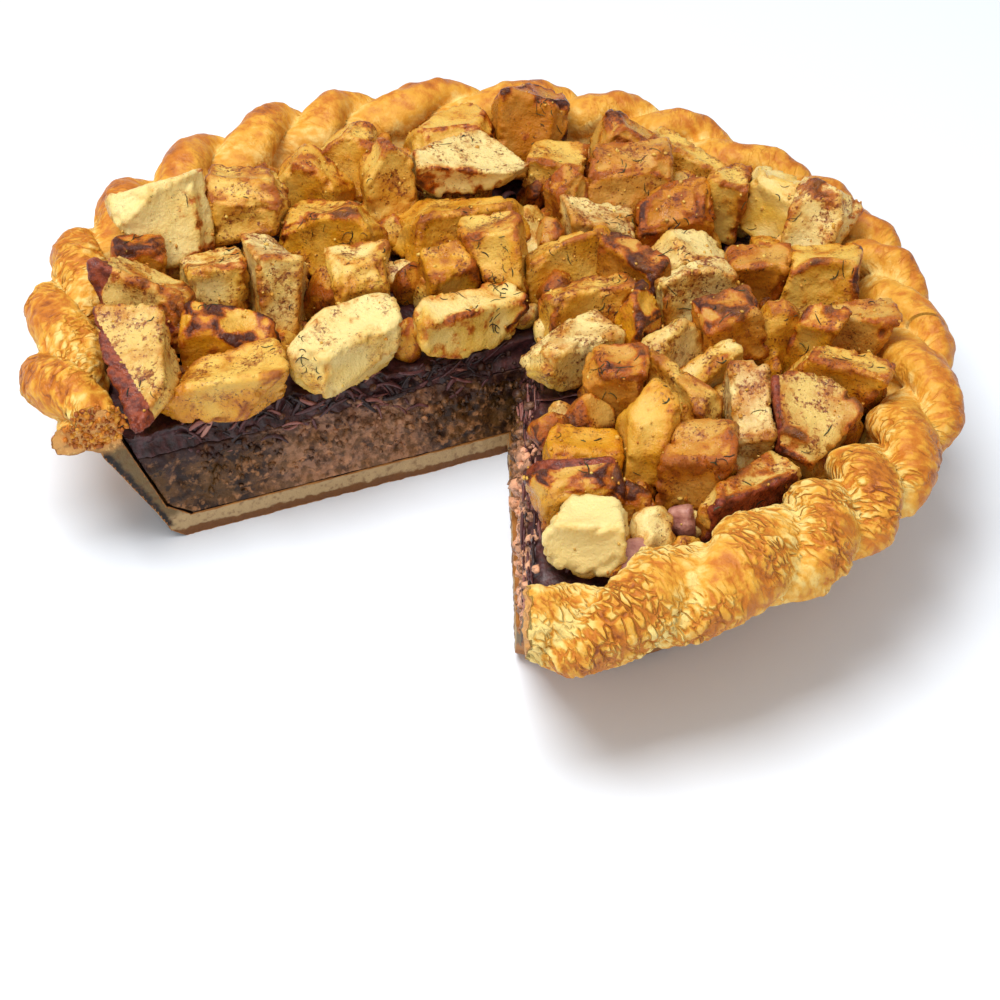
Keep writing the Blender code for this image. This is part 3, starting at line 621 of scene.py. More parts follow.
meat = turned("cooked_meat", [
    (AXIS, MEAT_TOP), (mouth_radius(MEAT_TOP) - WALL_GAP, MEAT_TOP),
    (CORNER_RADIUS - WALL_GAP, CORNER_HEIGHT), (FLOOR_RADIUS - WALL_GAP, FLOOR_TOP + GAP),
    (AXIS, FLOOR_TOP + GAP)], 90)
move_points(meat.data, tucked(points_of(meat.data), 1.2))
filling_knife = wedge_knife(left_recess, right_recess, 0.7 * MM)
spare_knife = place("knife", filling_knife.data.copy())
boolean(meat, filling_knife, 'DIFFERENCE')
meat.data.shade_smooth()
spots = points_of(meat.data)
# The pale share: pale crumbs, and on the right face also painted light.
set_attribute(meat.data, "pale", pale_and_painted_light(spots))

mince = Finish("cooked_mince")
clump = mince.noise(4.5 * MM, 3, seed=1)
brown = mince.mix(clump.rise(0.38, 0.6), shade(46, 26, 10), shade(100, 66, 32))
brown = mince.mix(mince.noise(2.2 * MM, 3, seed=2).rise(0.5, 0.66), brown, shade(160, 110, 70))
brown = mince.mix(mince.noise(11 * MM, 2, seed=3).rise(0.48, 0.6) * 0.75, brown,
                  shade(92, 62, 26))
brown = mince.mix(mince.noise(1.6 * MM, 3, seed=4).rise(0.56, 0.68) * 0.8, brown,
                  shade(34, 20, 12))
stain = mince.up_from(MEAT_TOP - 7 * MM) + (mince.noise(5 * MM, 4, seed=7) - 0.5) * (26 * MM)
brown = mince.mix(stain.rise(0, 6 * MM) * 0.8, brown, shade(52, 26, 24))
# Paler where the pale share says: pale crumbs, and on the right face painted light.
crumb = mince.noise(2.6 * MM, 4, 0.6, seed=8).rise(0.42, 0.6) + 0.25
brown = mince.mix(mince.attribute("pale") * crumb, brown, shade(236, 172, 132))
grain = mince.noise(1.4 * MM, 4, seed=5)
meat_finish = mince.finish_with(brown, 0.3 + mince.noise(3 * MM, seed=6) * 0.4, grain,
                                0.5 * MM, Coat_Weight=0.1, Coat_Roughness=0.25,
                                Specular_IOR_Level=0.3)
coat(meat, meat_finish)
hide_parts("meat_filling")

# ---- the onion -----------------------------------------------------------------------
# Soft cooked onion over the meat, dark and wet, lumpy on top where it shows between the
# potatoes, with loose strips draped on it and hanging at the cut faces.
ONION_LUMPS = 1.4 * MM
ONION_CELL = 1.5 * MM
STRIP_TRIES = 150                   # on top, where those that reach past the onion are left out
STRIP_REACH = 101 * MM
STRIP_CEILING = 37.5                # the highest that a hanging strip lies, in millimetres


def onion_height(places):
    """Height of the lumpy top of the onion."""
    flat = places * (1, 1, 0)
    return ONION_TOP + ONION_LUMPS * lumps(flat, 17 * MM, 5)


def onion_blanket():
    """A thick sheet with the onion's lumpy top, a little larger than the case."""
    width = 2 * MOUTH_RADIUS + 4 * MM
    mesh = block(round(width / ONION_CELL), round(width / ONION_CELL))
    spots = points_of(mesh)
    spots[:, :2] *= width
    flat = spots * (1, 1, 0)
    fold = 1 - np.abs(lumps(flat, 4.5 * MM, 41)) * 2
    top = onion_height(spots) + 1.1 * MM * (fold - 0.6) + 0.3 * MM * lumps(flat, 2 * MM, 42)
    spots[:, 2] = np.where(spots[:, 2] < -0.5, MEAT_TOP - 4 * MM, top)
    move_points(mesh, spots)
    return place("onion", mesh)


def tubes(name, paths):
    """One mesh of many soft ribbons. Each is its path, the way its flat side faces, its half
    width and half thickness, the sides of its section, and a tint from 0 to 1."""
    points, faces, tints = [], [], []
    for path, facing, wide, thick, sides, tint in paths:
        path = np.array(path)
        ahead = np.gradient(path, axis=0)
        ahead /= np.linalg.norm(ahead, axis=1)[:, None]
        across = np.cross(ahead, facing)
        across /= np.linalg.norm(across, axis=1)[:, None]
        up = np.cross(across, ahead)
        taper = np.sin(math.pi * np.linspace(0.06, 0.94, len(path))) ** 0.5
        first = len(points)
        for number in range(len(path)):
            for turn in np.arange(sides) * 2 * math.pi / sides:
                points.append(path[number]
                              + across[number] * wide * taper[number] * math.cos(turn)
                              + up[number] * thick * taper[number] * math.sin(turn))
        rings = np.arange(len(path) * sides).reshape(-1, sides) + first
        for one, two in zip(rings[:-1], rings[1:]):
            for number in range(sides):
                after = (number + 1) % sides
                faces.append((one[number], one[after], two[after], two[number]))
        faces += [tuple(rings[0][::-1]), tuple(rings[-1])]
        tints += [tint] * len(path) * sides
    mesh = bpy.data.meshes.new(name)
    mesh.from_pydata([tuple(point) for point in points], [],
                     [tuple(int(each) for each in face) for face in faces])
    set_attribute(mesh, "tint", tints)
    mesh.shade_smooth()
    return mesh


onion = turned("soft_onion", [
    (AXIS, ONION_TOP + 10 * MM), (mouth_radius(LIP_HEIGHT) - WALL_GAP, ONION_TOP + 10 * MM),
    (mouth_radius(LIP_HEIGHT) - WALL_GAP, LIP_HEIGHT),
    (mouth_radius(MEAT_TOP + GAP) - WALL_GAP, MEAT_TOP + GAP), (AXIS, MEAT_TOP + GAP)], 90)
boolean(onion, onion_blanket(), 'INTERSECT')
boolean(onion, spare_knife, 'DIFFERENCE')
set_attribute(onion.data, "tint", 0.25 + 0 * points_of(onion.data)[:, 0])
onion.data.shade_smooth()

soft = Finish("soft_onion")
tint = soft.attribute("tint") + (soft.noise(3 * MM, 3, seed=1) - 0.5) * 0.9
purple = soft.mix(tint.rise(0.05, 0.5), shade(40, 20, 20), shade(88, 46, 46))
purple = soft.mix(tint.rise(0.5, 1.1), purple, shade(162, 102, 90))
purple = soft.mix(tint.rise(0.9, 1.5), purple, shade(214, 160, 138))
onion_finish = soft.finish_with(purple, 0.36 + soft.noise(2 * MM, seed=2) * 0.3,
                                soft.noise(1.2 * MM, 3, seed=3), 0.4 * MM, Coat_Weight=0.2,
                                Coat_Roughness=0.2)
coat(onion, onion_finish)
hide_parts("onion_layer")


def onion_strips():
    """Loose strips: draped on top, and hanging at both cut faces."""
    draw = random.Random(5)
    strips = []
    for bearing, side, recess, count, low, pink in (
            (LEFT_BEARING, -1, left_recess, 130, 24, 0),
            (RIGHT_BEARING, 1, right_recess, 170, 18, 0.7)):
        for _ in range(count):
            middle, high = draw.uniform(2, 98) * MM, draw.triangular(
                low, STRIP_CEILING, 34) * MM
            length, slope = draw.uniform(3, 10) * MM, draw.uniform(-1.1, 1.1)
            share = np.linspace(-0.5, 0.5, 9)
            along = middle + share * length * math.cos(slope)
            up = np.minimum(high + share * length * math.sin(slope)
                            - share ** 2 * draw.uniform(-3, 9) * MM, STRIP_CEILING * MM)
            depth = recess(0 * along + middle, 0 * up + high) - draw.uniform(-0.6, 1.2) * MM
            path = face_places(bearing, side, along, up, depth)
            facing = side * np.cross(bearing_vector(bearing), (0, 0, 1))
            facing = facing + np.array([draw.uniform(-0.5, 0.5) for _ in range(3)])
            strips.append((path, facing, draw.uniform(0.25, 0.8) * MM,
                           draw.uniform(0.25, 0.5) * MM, 6, draw.triangular(-0.2, 1.2, pink)))
    for _ in range(STRIP_TRIES):
        away, bearing = 100 * MM * math.sqrt(draw.random()), draw.uniform(0, 2 * math.pi)
        heading, bend = draw.uniform(0, 2 * math.pi), draw.uniform(-2.4, 2.4)
        share = np.linspace(-0.5, 0.5, 9)
        length = draw.uniform(8, 18) * MM
        course = heading + bend * share
        spots = np.stack([away * math.cos(bearing) + share * length * np.cos(course),
                          away * math.sin(bearing) + share * length * np.sin(course),
                          0 * share], -1)
        reach = np.linalg.norm(spots[:, :2], axis=1)
        if reach.max() > STRIP_REACH or wedge_share(spots).max() > 0:
            continue
        spots[:, 2] = onion_height(spots) + (0.6 + 0.8 * np.sin(share * 7)) * MM
        strips.append((spots, (draw.uniform(-0.4, 0.4), draw.uniform(-0.4, 0.4), 1),
                       draw.uniform(1.0, 2.4) * MM, draw.uniform(0.3, 0.5) * MM, 6,
                       draw.triangular(0, 0.9, 0.2)))
    return tubes("onion_strips", strips)


def wedge_share(places, margin=2 * MM):
    """How far places lie past both planes of the cut, inside the missing wedge."""
    flat = places - CUT_POINT
    left = flat @ np.cross((0, 0, 1), bearing_vector(LEFT_BEARING)) + margin
    right = flat @ -np.cross((0, 0, 1), bearing_vector(RIGHT_BEARING)) + margin
    return np.maximum(np.minimum(left, right), 0)


strips = place("onion_strips", onion_strips())
coat(strips, onion_finish)

# ---- the potato chunks ---------------------------------------------------------------
# Each roasted chunk keeps its own cut form, with worn corners, sunken sides and a crust.
# For each: its tone, how yellow and toasted it is, how burnt and on which side, how spiced.
CHUNK_CELL = 0.76 * MM
SHARP = math.radians(20)            # an edge where the faces turn by more than this
LOOKS = (
    ("cream", 0.35, 0.1, 0.5, (1, 0, 0.1), 0.2), ("brown", 0.7, 0.75, 0.7, (0.3, 0, 1), 0.3),
    ("skin", 0.4, 0.6, 0.8, (-0.8, 0, 0.8), 0.6), ("cream", 0.6, 0.3, 0.5, (-0.6, 0.3, 0.8), 0.5),
    ("cream", 0.5, 0.25, 0.4, (0.3, 0.3, 1), 0.8), ("skin", 0.3, 0.25, 0.1, (0, 0.6, 0.8), 0.6),
    ("golden", 0.9, 0.6, 1.2, (0.5, 0.3, 1), 0.2), ("golden", 0.6, 0.4, 0.3, (1, 0, -0.3), 0.6),
    ("cream", 0.35, 0.15, 0.3, (0.3, 0.3, 1), 0.3), ("cream", 0.8, 0.4, 0.3, (0, 0, 1), 0.5),
    ("golden", 0.5, 0.55, 0.4, (0, 0, 1), 0.7), ("golden", 0.8, 0.4, 0.8, (-0.2, 0.6, 1), 0.5),
    ("golden", 0.7, 0.5, 0.5, (0.3, 0, 1), 0.4), ("golden", 0.7, 0.5, 0.4, (0, 0, 1), 0.4),
    ("golden", 0.5, 0.4, 0.5, (-0.3, 0, 1), 0.5), ("golden", 0.8, 0.4, 0.2, (0, -1, 0.3), 0.5),
    ("cream", 0.4, 0.35, 0.8, (0, -1, -0.5), 0.5), ("golden", 0.6, 0.15, 0.6, (1, 0.2, 0.6), 0.1),
    ("brown", 0.9, 0.4, 0.9, (0.8, 0.3, 0.8), 0.3), ("golden", 0.5, 0.5, 0.3, (0, 0, 1), 0.4),
    ("brown", 0.6, 0.6, 0.6, (1, 0, 0.6), 0.6), ("brown", 0.5, 0.8, 0.6, (0, 0, 1), 0.4),
    ("golden", 0.4, 0.5, 0.4, (0, 0, 1), 0.4), ("brown", 1.1, 1.0, 0.7, (-0.2, -1, 0.1), 0.4),
    ("golden", 0.35, 0.6, 0.4, (1, 0, 0.5), 0.4), ("cream", 0.7, 0.1, 0.2, (0, 0, 1), 0.1),
    ("cream", 0.4, 0.3, 0.7, (0, 0.2, 1), 0.6), ("golden", 0.6, 0.45, 1, (1, 0, 0), 0.4),
    ("cream", 0.5, 0.25, 0.3, (0, 0, 1), 0.4), ("brown", 0.8, 0.7, 0.5, (0, 0, 1), 0.5),
    ("brown", 0.5, 0.9, 0.7, (0, 0, 1), 0.4), ("cream", 0.3, 0.25, 0.2, (0, 0, 1), 0.9),
    ("golden", 0.6, 0.5, 0.5, (0, 0, 1), 0.5), ("golden", 0.7, 0.6, 0.5, (0, -1, 0), 0.5),
    ("cream", 0.6, 0.38, 0.6, (1, -0.4, 0.2), 0.2), ("golden", 0.7, 0.3, 0.3, (0, 0, 1), 0.5),
    ("brown", 0.6, 0.7, 1, (0.3, 0, 1), 0.4), ("golden", 0.6, 0.35, 0.6, (0, 0, 1), 0.8),
    ("cream", 0.4, 0.15, 0.2, (0, 0, 1), 0.7), ("golden", 1.1, 0.6, 1.1, (0.2, 0.2, 1), 0.3),
    ("cream", 0.45, 0.3, 0.3, (0, 0, 1), 0.7), ("cream", 0.5, 0.2, 0.2, (0, 0, 1), 0.6),
    ("brown", 0.6, 0.7, 1, (-0.6, 0, 0.6), 0.6), ("cream", 0.8, 0.3, 0.3, (0, 0, 1), 0.4),
    ("golden", 0.7, 0.4, 0.6, (-0.5, 0, 1), 0.4), ("brown", 0.3, 0.4, 0.5, (0, -0.5, 0.4), 0.6),
    ("golden", 0.6, 0.5, 0.5, (0, 0, 1), 0.5), ("skin", 0.35, 0.3, 0.9, (-1, 0, 0.3), 0.7),
    ("cream", 0.2, 0.3, 0.3, (0, 0, 1), 1), ("brown", 0.7, 0.9, 0.7, (0, 0, 1), 0.4),
    ("golden", 0.4, 0.5, 0.3, (0, 0, 1), 0.8), ("golden", 1, 0.2, 0.4, (0, -1, -0.6), 0.3),
    ("golden", 0.7, 0.2, 0.3, (0, 0, 1), 0.2), ("brown", 0.6, 0.85, 0.5, (0, 0, 1), 0.6),
    ("skin", 0.9, 0.35, 0.9, (0, 0.5, 1), 0.4), ("cream", 0.15, 0, 0, (0, 0, 1), 0),
    ("skin", 0.4, 0.8, 0.7, (0, 0, 1), 0.5),
)
SKINS = {3: ((-0.8, -0.3, 0.5), 5), 6: ((-1, -0.5, -0.3), 6), 48: ((-1, 0, 0.1), 1.5),
         55: ((-0.1, 0.9, 0.5), 3), 57: ((0, -0.8, 0.2), 2)}   # its side, and how wide it shows
TONES = {"cream": (shade(240, 214, 140), shade(226, 178, 68)),
         "golden": (shade(232, 190, 92), shade(216, 148, 28)),
         "brown": (shade(210, 160, 74), shade(196, 120, 30)),
         "skin": (shade(222, 186, 102), shade(208, 148, 46))}


def sharp_edges(mesh):
    """The ends of a mesh's sharp edges."""
    form = bmesh.new()
    form.from_mesh(mesh)
    bmesh.ops.remove_doubles(form, verts=form.verts, dist=0.02 * MM)
    ends = [(edge.verts[0].co[:], edge.verts[1].co[:]) for edge in form.edges
            if len(edge.link_faces) == 2 and edge.calc_face_angle(0) > SHARP]
    form.free()
    return np.array(ends)


def edge_distance(spots, ends):
    """How far each of many places lies from the nearest of some straight edges."""
    steps = np.linspace(0, 1, 24)[:, None]
    marks = np.concatenate([start + (end - start) * steps for start, end in ends])
    tree = KDTree(len(marks))
    for number, mark in enumerate(marks):
        tree.insert(mark, number)
    tree.balance()
    return np.array([tree.find(spot)[2] for spot in spots])


def roast(name, source, cell, seed, look, skin=None, form=1):
    """A potato piece in the scene, made from a plain form: worn, wrinkled and browned."""
    yellow, toast, burn, burn_side, spice = look[1:]
    ends = sharp_edges(source)
    made = place(name, source.copy())
    remesh = made.modifiers.new("even", 'REMESH')
    remesh.mode = 'VOXEL'
    remesh.voxel_size = cell
    smooth = made.modifiers.new("soft", 'SMOOTH')
    smooth.factor = 0.35
    freeze(made)
    mesh = made.data
    spots, normals = points_of(mesh), normals_of(mesh)
    away = edge_distance(spots, ends)
    warp = np.stack([lumps(spots, 12 * MM, seed + turn) for turn in (3.3, 4.4, 5.5)], -1)
    spots = spots + form * 0.8 * MM * warp
    worn = np.exp(-away / (1.1 * MM))
    wide = lumps(spots, 7.5 * MM, seed)
    middle = lumps(spots, 3.0 * MM, seed + 0.3)
    tiny = lumps(spots, 1.5 * MM, seed + 0.6)
    near, second = cells(spots, 2.1 * MM, seed).T
    crumbly = ramp(lumps(spots, 8 * MM, seed + 0.9) + 0.5 * worn, -0.05, 0.45)
    rough = 0.5 + 0.9 * toast
    relief = ((0.15 + min(0.8 * toast, 0.4)) * wide + rough * (0.28 * middle + 0.2 * tiny)
              + 0.4 * crumbly * (0.45 - near) * (0.3 + spice)
              + worn * (0.75 - 1.9 * ramp(middle, 0.1, 0.5)) - 0.65 * ramp(away, 0.8 * MM, 6 * MM))
    move_points(mesh, spots + normals * (relief * MM * form)[:, None])
    facing = normals @ np.array(Vector(burn_side).normalized())
    edge = np.exp(-away / (0.8 * MM)) * (
        0.3 + ramp(lumps(spots, 9 * MM, seed + 0.7), -0.15, 0.3))
    # The yellow share also holds painted light and shade: it drops on faces turned up and rises on
    # faces turned down.
    set_attribute(mesh, "yellow", yellow + 0.5 * wide - 0.3 * normals[:, 2] + 0.3 * worn)
    set_attribute(mesh, "toast", (0.15 + toast) * (0.4 + 1.1 * wide + 0.9 * middle + 1.7 * edge)
                  + 0.3 * crumbly * spice)
    set_attribute(mesh, "burn", burn * (0.5 * facing + 1.0 * edge + 0.6 * wide + 0.6 * middle))
    set_attribute(mesh, "spice", spice * (0.7 + 0.4 * normals[:, 2] + 0.7 * wide))
    shown = np.zeros(len(spots))
    if skin:
        side = np.array(Vector(skin[0]).normalized())
        shown = ramp(normals @ side + 0.12 * wide, 0.55, 0.7)
        reach = spots @ side + 0.6 * MM * wide
        shown = np.maximum(shown, ramp(reach, reach.max() - skin[1] * MM - 0.5 * MM,
                                       reach.max() - skin[1] * MM))
    set_attribute(mesh, "skin", shown)
    mesh.shade_smooth()
    return made


def potato_finish(tone):
    """Roasted potato: cream to yellow, drawn paler on top and darker on faces turned down as
    painted light and shade, with toasted patches, burnt edges, spice, skin.
    """
    pale, rich = TONES[tone]
    cooked = Finish("roast_potato_" + tone)
    patch = cooked.noise(3.5 * MM, 5, 0.62, seed=1) - 0.5
    speck = cooked.noise(0.9 * MM, 3, 0.6, seed=2)
    # From pale to rich, where the rich side also stands for painted shade on faces turned down.
    flesh_and_painted_shade = cooked.mix((cooked.attribute("yellow") + patch * 0.6).rise(0, 1), pale, rich)
    toast = cooked.attribute("toast") + patch * 1.1 + (speck - 0.5) * 0.4
    colour = cooked.mix(toast.rise(0.2, 0.95) * 0.85, flesh_and_painted_shade, shade(208, 132, 30))
    colour = cooked.mix(toast.rise(0.7, 1.3) * 0.9, colour, shade(148, 74, 14))
    burn = cooked.attribute("burn") + patch * 1.1 + (speck - 0.5) * 0.4
    colour = cooked.mix(burn.rise(0.3, 0.65), colour, shade(184, 92, 14))
    colour = cooked.mix(burn.rise(0.5, 0.95), colour, shade(76, 32, 12))
    spice = cooked.attribute("spice")
    film = (spice + patch * 2.6).rise(0.4, 1.1) * 0.4
    colour = cooked.mix(film, colour, shade(176, 108, 34))
    cluster = cooked.noise(6 * MM, 3, seed=9) - 0.5
    dust = (cooked.noise(1.3 * MM, 4, 0.7, seed=8) + cluster * 0.9 + spice * 0.06).rise(
        0.58, 0.70)
    colour = cooked.mix(dust * spice.rise(0.0, 0.6) * 0.75, colour, shade(158, 84, 26))
    red = (speck + cluster * 0.5 + spice * 0.04).rise(0.63, 0.67) * spice.rise(0.0, 0.5)
    colour = cooked.mix(red * 0.85, colour, shade(112, 48, 14))
    black = (cooked.noise(1.1 * MM, 3, 0.7, seed=3) + cluster * 0.2).rise(0.66, 0.69)
    colour = cooked.mix(black * spice.rise(0, 0.3) * 0.95, colour, shade(44, 24, 10))
    skin = cooked.attribute("skin")
    peel = cooked.mix(cooked.noise(2 * MM, 3, seed=4).rise(0.4, 0.65), shade(148, 68, 38),
                      shade(98, 38, 24))
    colour = cooked.mix(skin.rise(0.4, 0.6), colour, peel)
    fine = cooked.noise(1.0 * MM, 4, 0.65, seed=5) + speck * 0.5
    fine = fine + toast.rise(0.3, 1.1) * cooked.noise(0.8 * MM, 4, 0.7, seed=10) * 0.9
    roughness = 0.42 - cooked.noise(4 * MM, seed=7).rise(0.4, 0.7) * 0.22
    return cooked.finish_with(colour, roughness, fine, 0.35 * MM, Subsurface_Weight=0.12,
                              Subsurface_Radius=(0.004, 0.002, 0.001), Subsurface_Scale=0.5,
                              Specular_IOR_Level=0.4)


finishes = {tone: potato_finish(tone) for tone in TONES}
chunks = []
for number, look in enumerate(LOOKS, 1):
    node = f"potato_{number:02d}"
    chunk = roast(f"roast_{number:02d}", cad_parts[node].data, CHUNK_CELL, number * 1.7,
                  look, SKINS.get(number))
    coat(chunk, finishes[look[0]])
    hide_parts(node)
    chunks.append(chunk)

# ---- the small bits ------------------------------------------------------------------
# Broken potato bits between the chunks: those that stand out in the heap, then low ones that
# fill the space between the chunks, apart from a few gaps where the onion shows. Two of the
# first are pieces of pink onion.
BIT_CELL = 1.05 * MM
BIT_TRIES = 2300                    # places tried for the low ones
BIT_SPACING = 7.5 * MM              # closer together than this they are left out
HEAP_RADIUS = 104 * MM
# Where a bit's middle lies across and back, and its length, width and height, in millimetres.
BITS = ((-66, 68, 12, 10, 16, "brown"), (-82, 60, 14, 10, 14, "brown"),
        (-45, 15, 12, 14, 16, "brown"), (60, 70, 10, 10, 16, "golden"),
        (82, 40, 12, 10, 14, "golden"), (18, 44, 10, 9, 16, "brown"),
        (12, 54, 15, 14, 14, "cream"), (-22, 24, 9, 8, 12, "golden"),
        (79, -6, 12, 12, 22, "golden"), (102, -24, 9, 8, 15, "golden"),
        (35, -91, 14, 12, 9, "pink"), (40, -82, 10, 11, 12, "cream"),
        (47, -77, 9, 8, 11, "pink"), (26, -38, 12, 12, 14, "brown"),
        (35, -72, 8, 10, 14, "brown"))
DARK_GAPS = ((-22, 12), (-9, 21), (10, 84), (30, 80), (14, -3), (76, 52), (109, 31),
             (109, -2), (-89, -44), (15, -19), (64, -2), (58, -84), (73, -50), (24, -99),
             (38, -99))
BIT_LOOKS = {"cream": ("cream", 0.5, 0.3, 0.3, (0, 0, 1), 0.5),
             "golden": ("golden", 0.7, 0.5, 0.5, (0, 0, 1), 0.6),
             "brown": ("brown", 0.6, 0.9, 0.8, (0, 0, 1), 0.6),
             "pink": ("cream", 0.2, 0.6, 0.2, (0, 0, 1), 0.2)}


def add_bit(form, middle, size, draw):
    """Add a rough lump with a few flat sides to a mesh in the making."""
    made = bmesh.ops.create_icosphere(form, subdivisions=2, radius=0.62)["verts"]
    turning = Matrix.Rotation(draw.uniform(0, math.pi), 3, 'Z')
    planes = [Vector([draw.uniform(-1, 1) for _ in range(3)]).normalized() for _ in range(7)]
    for vertex in made:
        for plane in planes:
            over = vertex.co.dot(plane) - 0.4
            if over > 0:
                vertex.co -= plane * over
        vertex.co = turning @ (vertex.co * Vector(size)) + middle


def bit_groups():
    """The bits of each tone as one mesh."""
    draw = random.Random(12)
    forms = {tone: bmesh.new() for tone in BIT_LOOKS}
    for x, y, length, width, height, tone in BITS:
        middle = Vector((x * MM, y * MM, ONION_TOP + 0.5 * height * MM))
        add_bit(forms[tone], middle, (length * MM, width * MM, height * MM), draw)
    taken = [Vector(gap) * MM for gap in DARK_GAPS]
    tones = ("golden", "golden", "brown", "cream")
    for _ in range(BIT_TRIES):
        away, bearing = HEAP_RADIUS * math.sqrt(draw.random()), draw.uniform(0, 2 * math.pi)
        spot = Vector((away * math.cos(bearing), away * math.sin(bearing)))
        size = draw.uniform(6, 12) * MM
        if wedge_share(np.array([[spot.x, spot.y, 0]]), size * 0.5 + 3 * MM)[0] > 0:
            continue
        if any((other - spot).length < BIT_SPACING for other in taken):
            continue
        taken.append(spot)
        tall = draw.uniform(6, 13) * MM
        middle = Vector((spot.x, spot.y, ONION_TOP + 0.45 * tall))
        add_bit(forms[draw.choice(tones)], middle, (size, size * draw.uniform(0.6, 1), tall),
                draw)
    return forms


for tone, form in bit_groups().items():
    mesh = bpy.data.meshes.new("bits")
    form.to_mesh(mesh)
    form.free()
    bits = roast("potato_bits_" + tone, mesh, BIT_CELL, 90 + len(tone), BIT_LOOKS[tone],
                 form=0.6)
    if tone == "pink":
        set_attribute(bits.data, "tint", 1.1 + 0 * points_of(bits.data)[:, 0])
        coat(bits, onion_finish)
    else:
        coat(bits, finishes[tone])
    chunks.append(bits)

# ---- the crumbs ----------------------------------------------------------------------
# Crumbs of potato on the chunks and bits, of meat on both cut faces, and of pastry on the
# torn left end of the rope edge.
GOLDEN_CRUMBS = 420
BROWN_CRUMBS = 520
PASTRY_CRUMBS = 220
TORN_HALF_WIDTH = 8.5 * MM          # of the patch of pastry crumbs on the rope's torn end
TORN_HALF_HEIGHT = 6.5 * MM
TORN_HEIGHT = 44 * MM


def crumbs(name, rows, seed):
    """One mesh of many rough crumbs: for each its middle, its size, and a tint."""
    shape = bmesh.new()
    bmesh.ops.create_icosphere(shape, subdivisions=1, radius=0.5)
    ball = np.array([vertex.co[:] for vertex in shape.verts])
    faces = np.array([[vertex.index for vertex in face.verts] for face in shape.faces])
    shape.free()
    random_numbers = np.random.default_rng(seed)
    middles = np.array([row[0] for row in rows])
    sizes = np.array([row[1] for row in rows])
    swollen = ball[None] * random_numbers.uniform(0.65, 1.25, (len(rows), len(ball), 1))
    stretched = swollen * random_numbers.uniform(0.6, 1.3, (len(rows), 1, 3))
    places = middles[:, None] + stretched * sizes[:, None, None]
    index = faces[None] + (np.arange(len(rows)) * len(ball))[:, None, None]
    mesh = bpy.data.meshes.new(name)
    mesh.from_pydata(places.reshape(-1, 3).tolist(), [], index.reshape(-1, 3).tolist())
    tints = np.repeat([row[2] for row in rows], len(ball))
    for attribute, share in (("tint", 1), ("toast", 0.8), ("yellow", 0.6), ("burn", 0.4),
                             ("spice", 0.3)):
        set_attribute(mesh, attribute, tints * share)
    spots = points_of(mesh)
    # Crumbs on the right face get the same pale crumbs and painted light as that face.
    set_attribute(mesh, "pale", pale_and_painted_light(spots) * (0.4 + tints))
    mesh.shade_smooth()
    return place(name, mesh)


def on_chunks(count, low, high, draw):
    """Crumbs on the upper sides of the chunks and bits."""
    rows = []
    while len(rows) < count:
        mesh = draw.choice(chunks).data
        vertex = mesh.vertices[draw.randrange(len(mesh.vertices))]
        if vertex.normal.z > 0.1 or draw.random() < 0.25:
            size = draw.triangular(low, high, low)
            rows.append((vertex.co + vertex.normal * size * 0.1, size, draw.random()))
    return rows


draw = random.Random(31)
coat(crumbs("golden_crumbs", on_chunks(GOLDEN_CRUMBS, 0.5 * MM, 1.7 * MM, draw), 1),
     finishes["golden"])
coat(crumbs("brown_crumbs", on_chunks(BROWN_CRUMBS, 0.5 * MM, 1.6 * MM, draw), 2),
     finishes["brown"])

rows = []
for bearing, side, recess, count, largest in ((LEFT_BEARING, -1, left_recess, 260, 3.2),
                                              (RIGHT_BEARING, 1, right_recess, 320, 5.0)):
    along = np.array([draw.uniform(-4, 92) for _ in range(count)]) * MM
    up = np.array([draw.triangular(9, 36, 24) for _ in range(count)]) * MM
    depth = recess(along, up) - 0.2 * MM
    for spot in face_places(bearing, side, along, up, depth):
        rows.append((spot, draw.triangular(0.8, largest, 1.1) * MM, draw.random()))
coat(crumbs("meat_crumbs", rows, 3), meat_finish)

rows = []
for _ in range(PASTRY_CRUMBS):
    turn, share = draw.uniform(0, 2 * math.pi), math.sqrt(draw.random())
    along = np.array([ROPE_RADIUS + 1 * MM + TORN_HALF_WIDTH * share * math.cos(turn)])
    up = np.array([TORN_HEIGHT + TORN_HALF_HEIGHT * share * math.sin(turn)])
    spot = face_places(LEFT_BEARING, -1, along, up, pastry_recess(along, up))[0]
    rows.append((spot, draw.triangular(0.7, 2.2, 0.9) * MM, draw.random()))
torn = crumbs("pastry_crumbs", rows, 4)
set_attribute(torn.data, "rope", np.ones(len(torn.data.vertices)))
set_attribute(torn.data, "brown", np.repeat([0.1 + 1.1 * row[2] for row in rows],
                                            len(torn.data.vertices) // len(rows)))
coat(torn, baked.material)

# ---- the herbs -----------------------------------------------------------------------
# Fine dark dill strands that lie on the chunks, thrown down from above.
DILL_STRANDS = 280
DILL_FALL = (0.05, 0.55, -1)        # the way they fall, down and a little to the back
DILL_FROM = 50 * MM
BARE_PLACE = (23, -87)              # the pale piece by the front end has none, in millimetres
BARE_RADIUS = 13 * MM


def heap_surface():
    """The outside of all the chunks and bits, to lay things on."""
    places, faces, first = [], [], 0
    for chunk in chunks:
        mesh = chunk.data
        places.append(points_of(mesh))
        corners = np.empty(len(mesh.loops), dtype=np.int32)
        mesh.loops.foreach_get("vertex_index", corners)
        faces.append(corners.reshape(-1, 4) + first)
        first += len(mesh.vertices)
    return BVHTree.FromPolygons(np.concatenate(places).tolist(),
                                np.concatenate(faces).tolist())


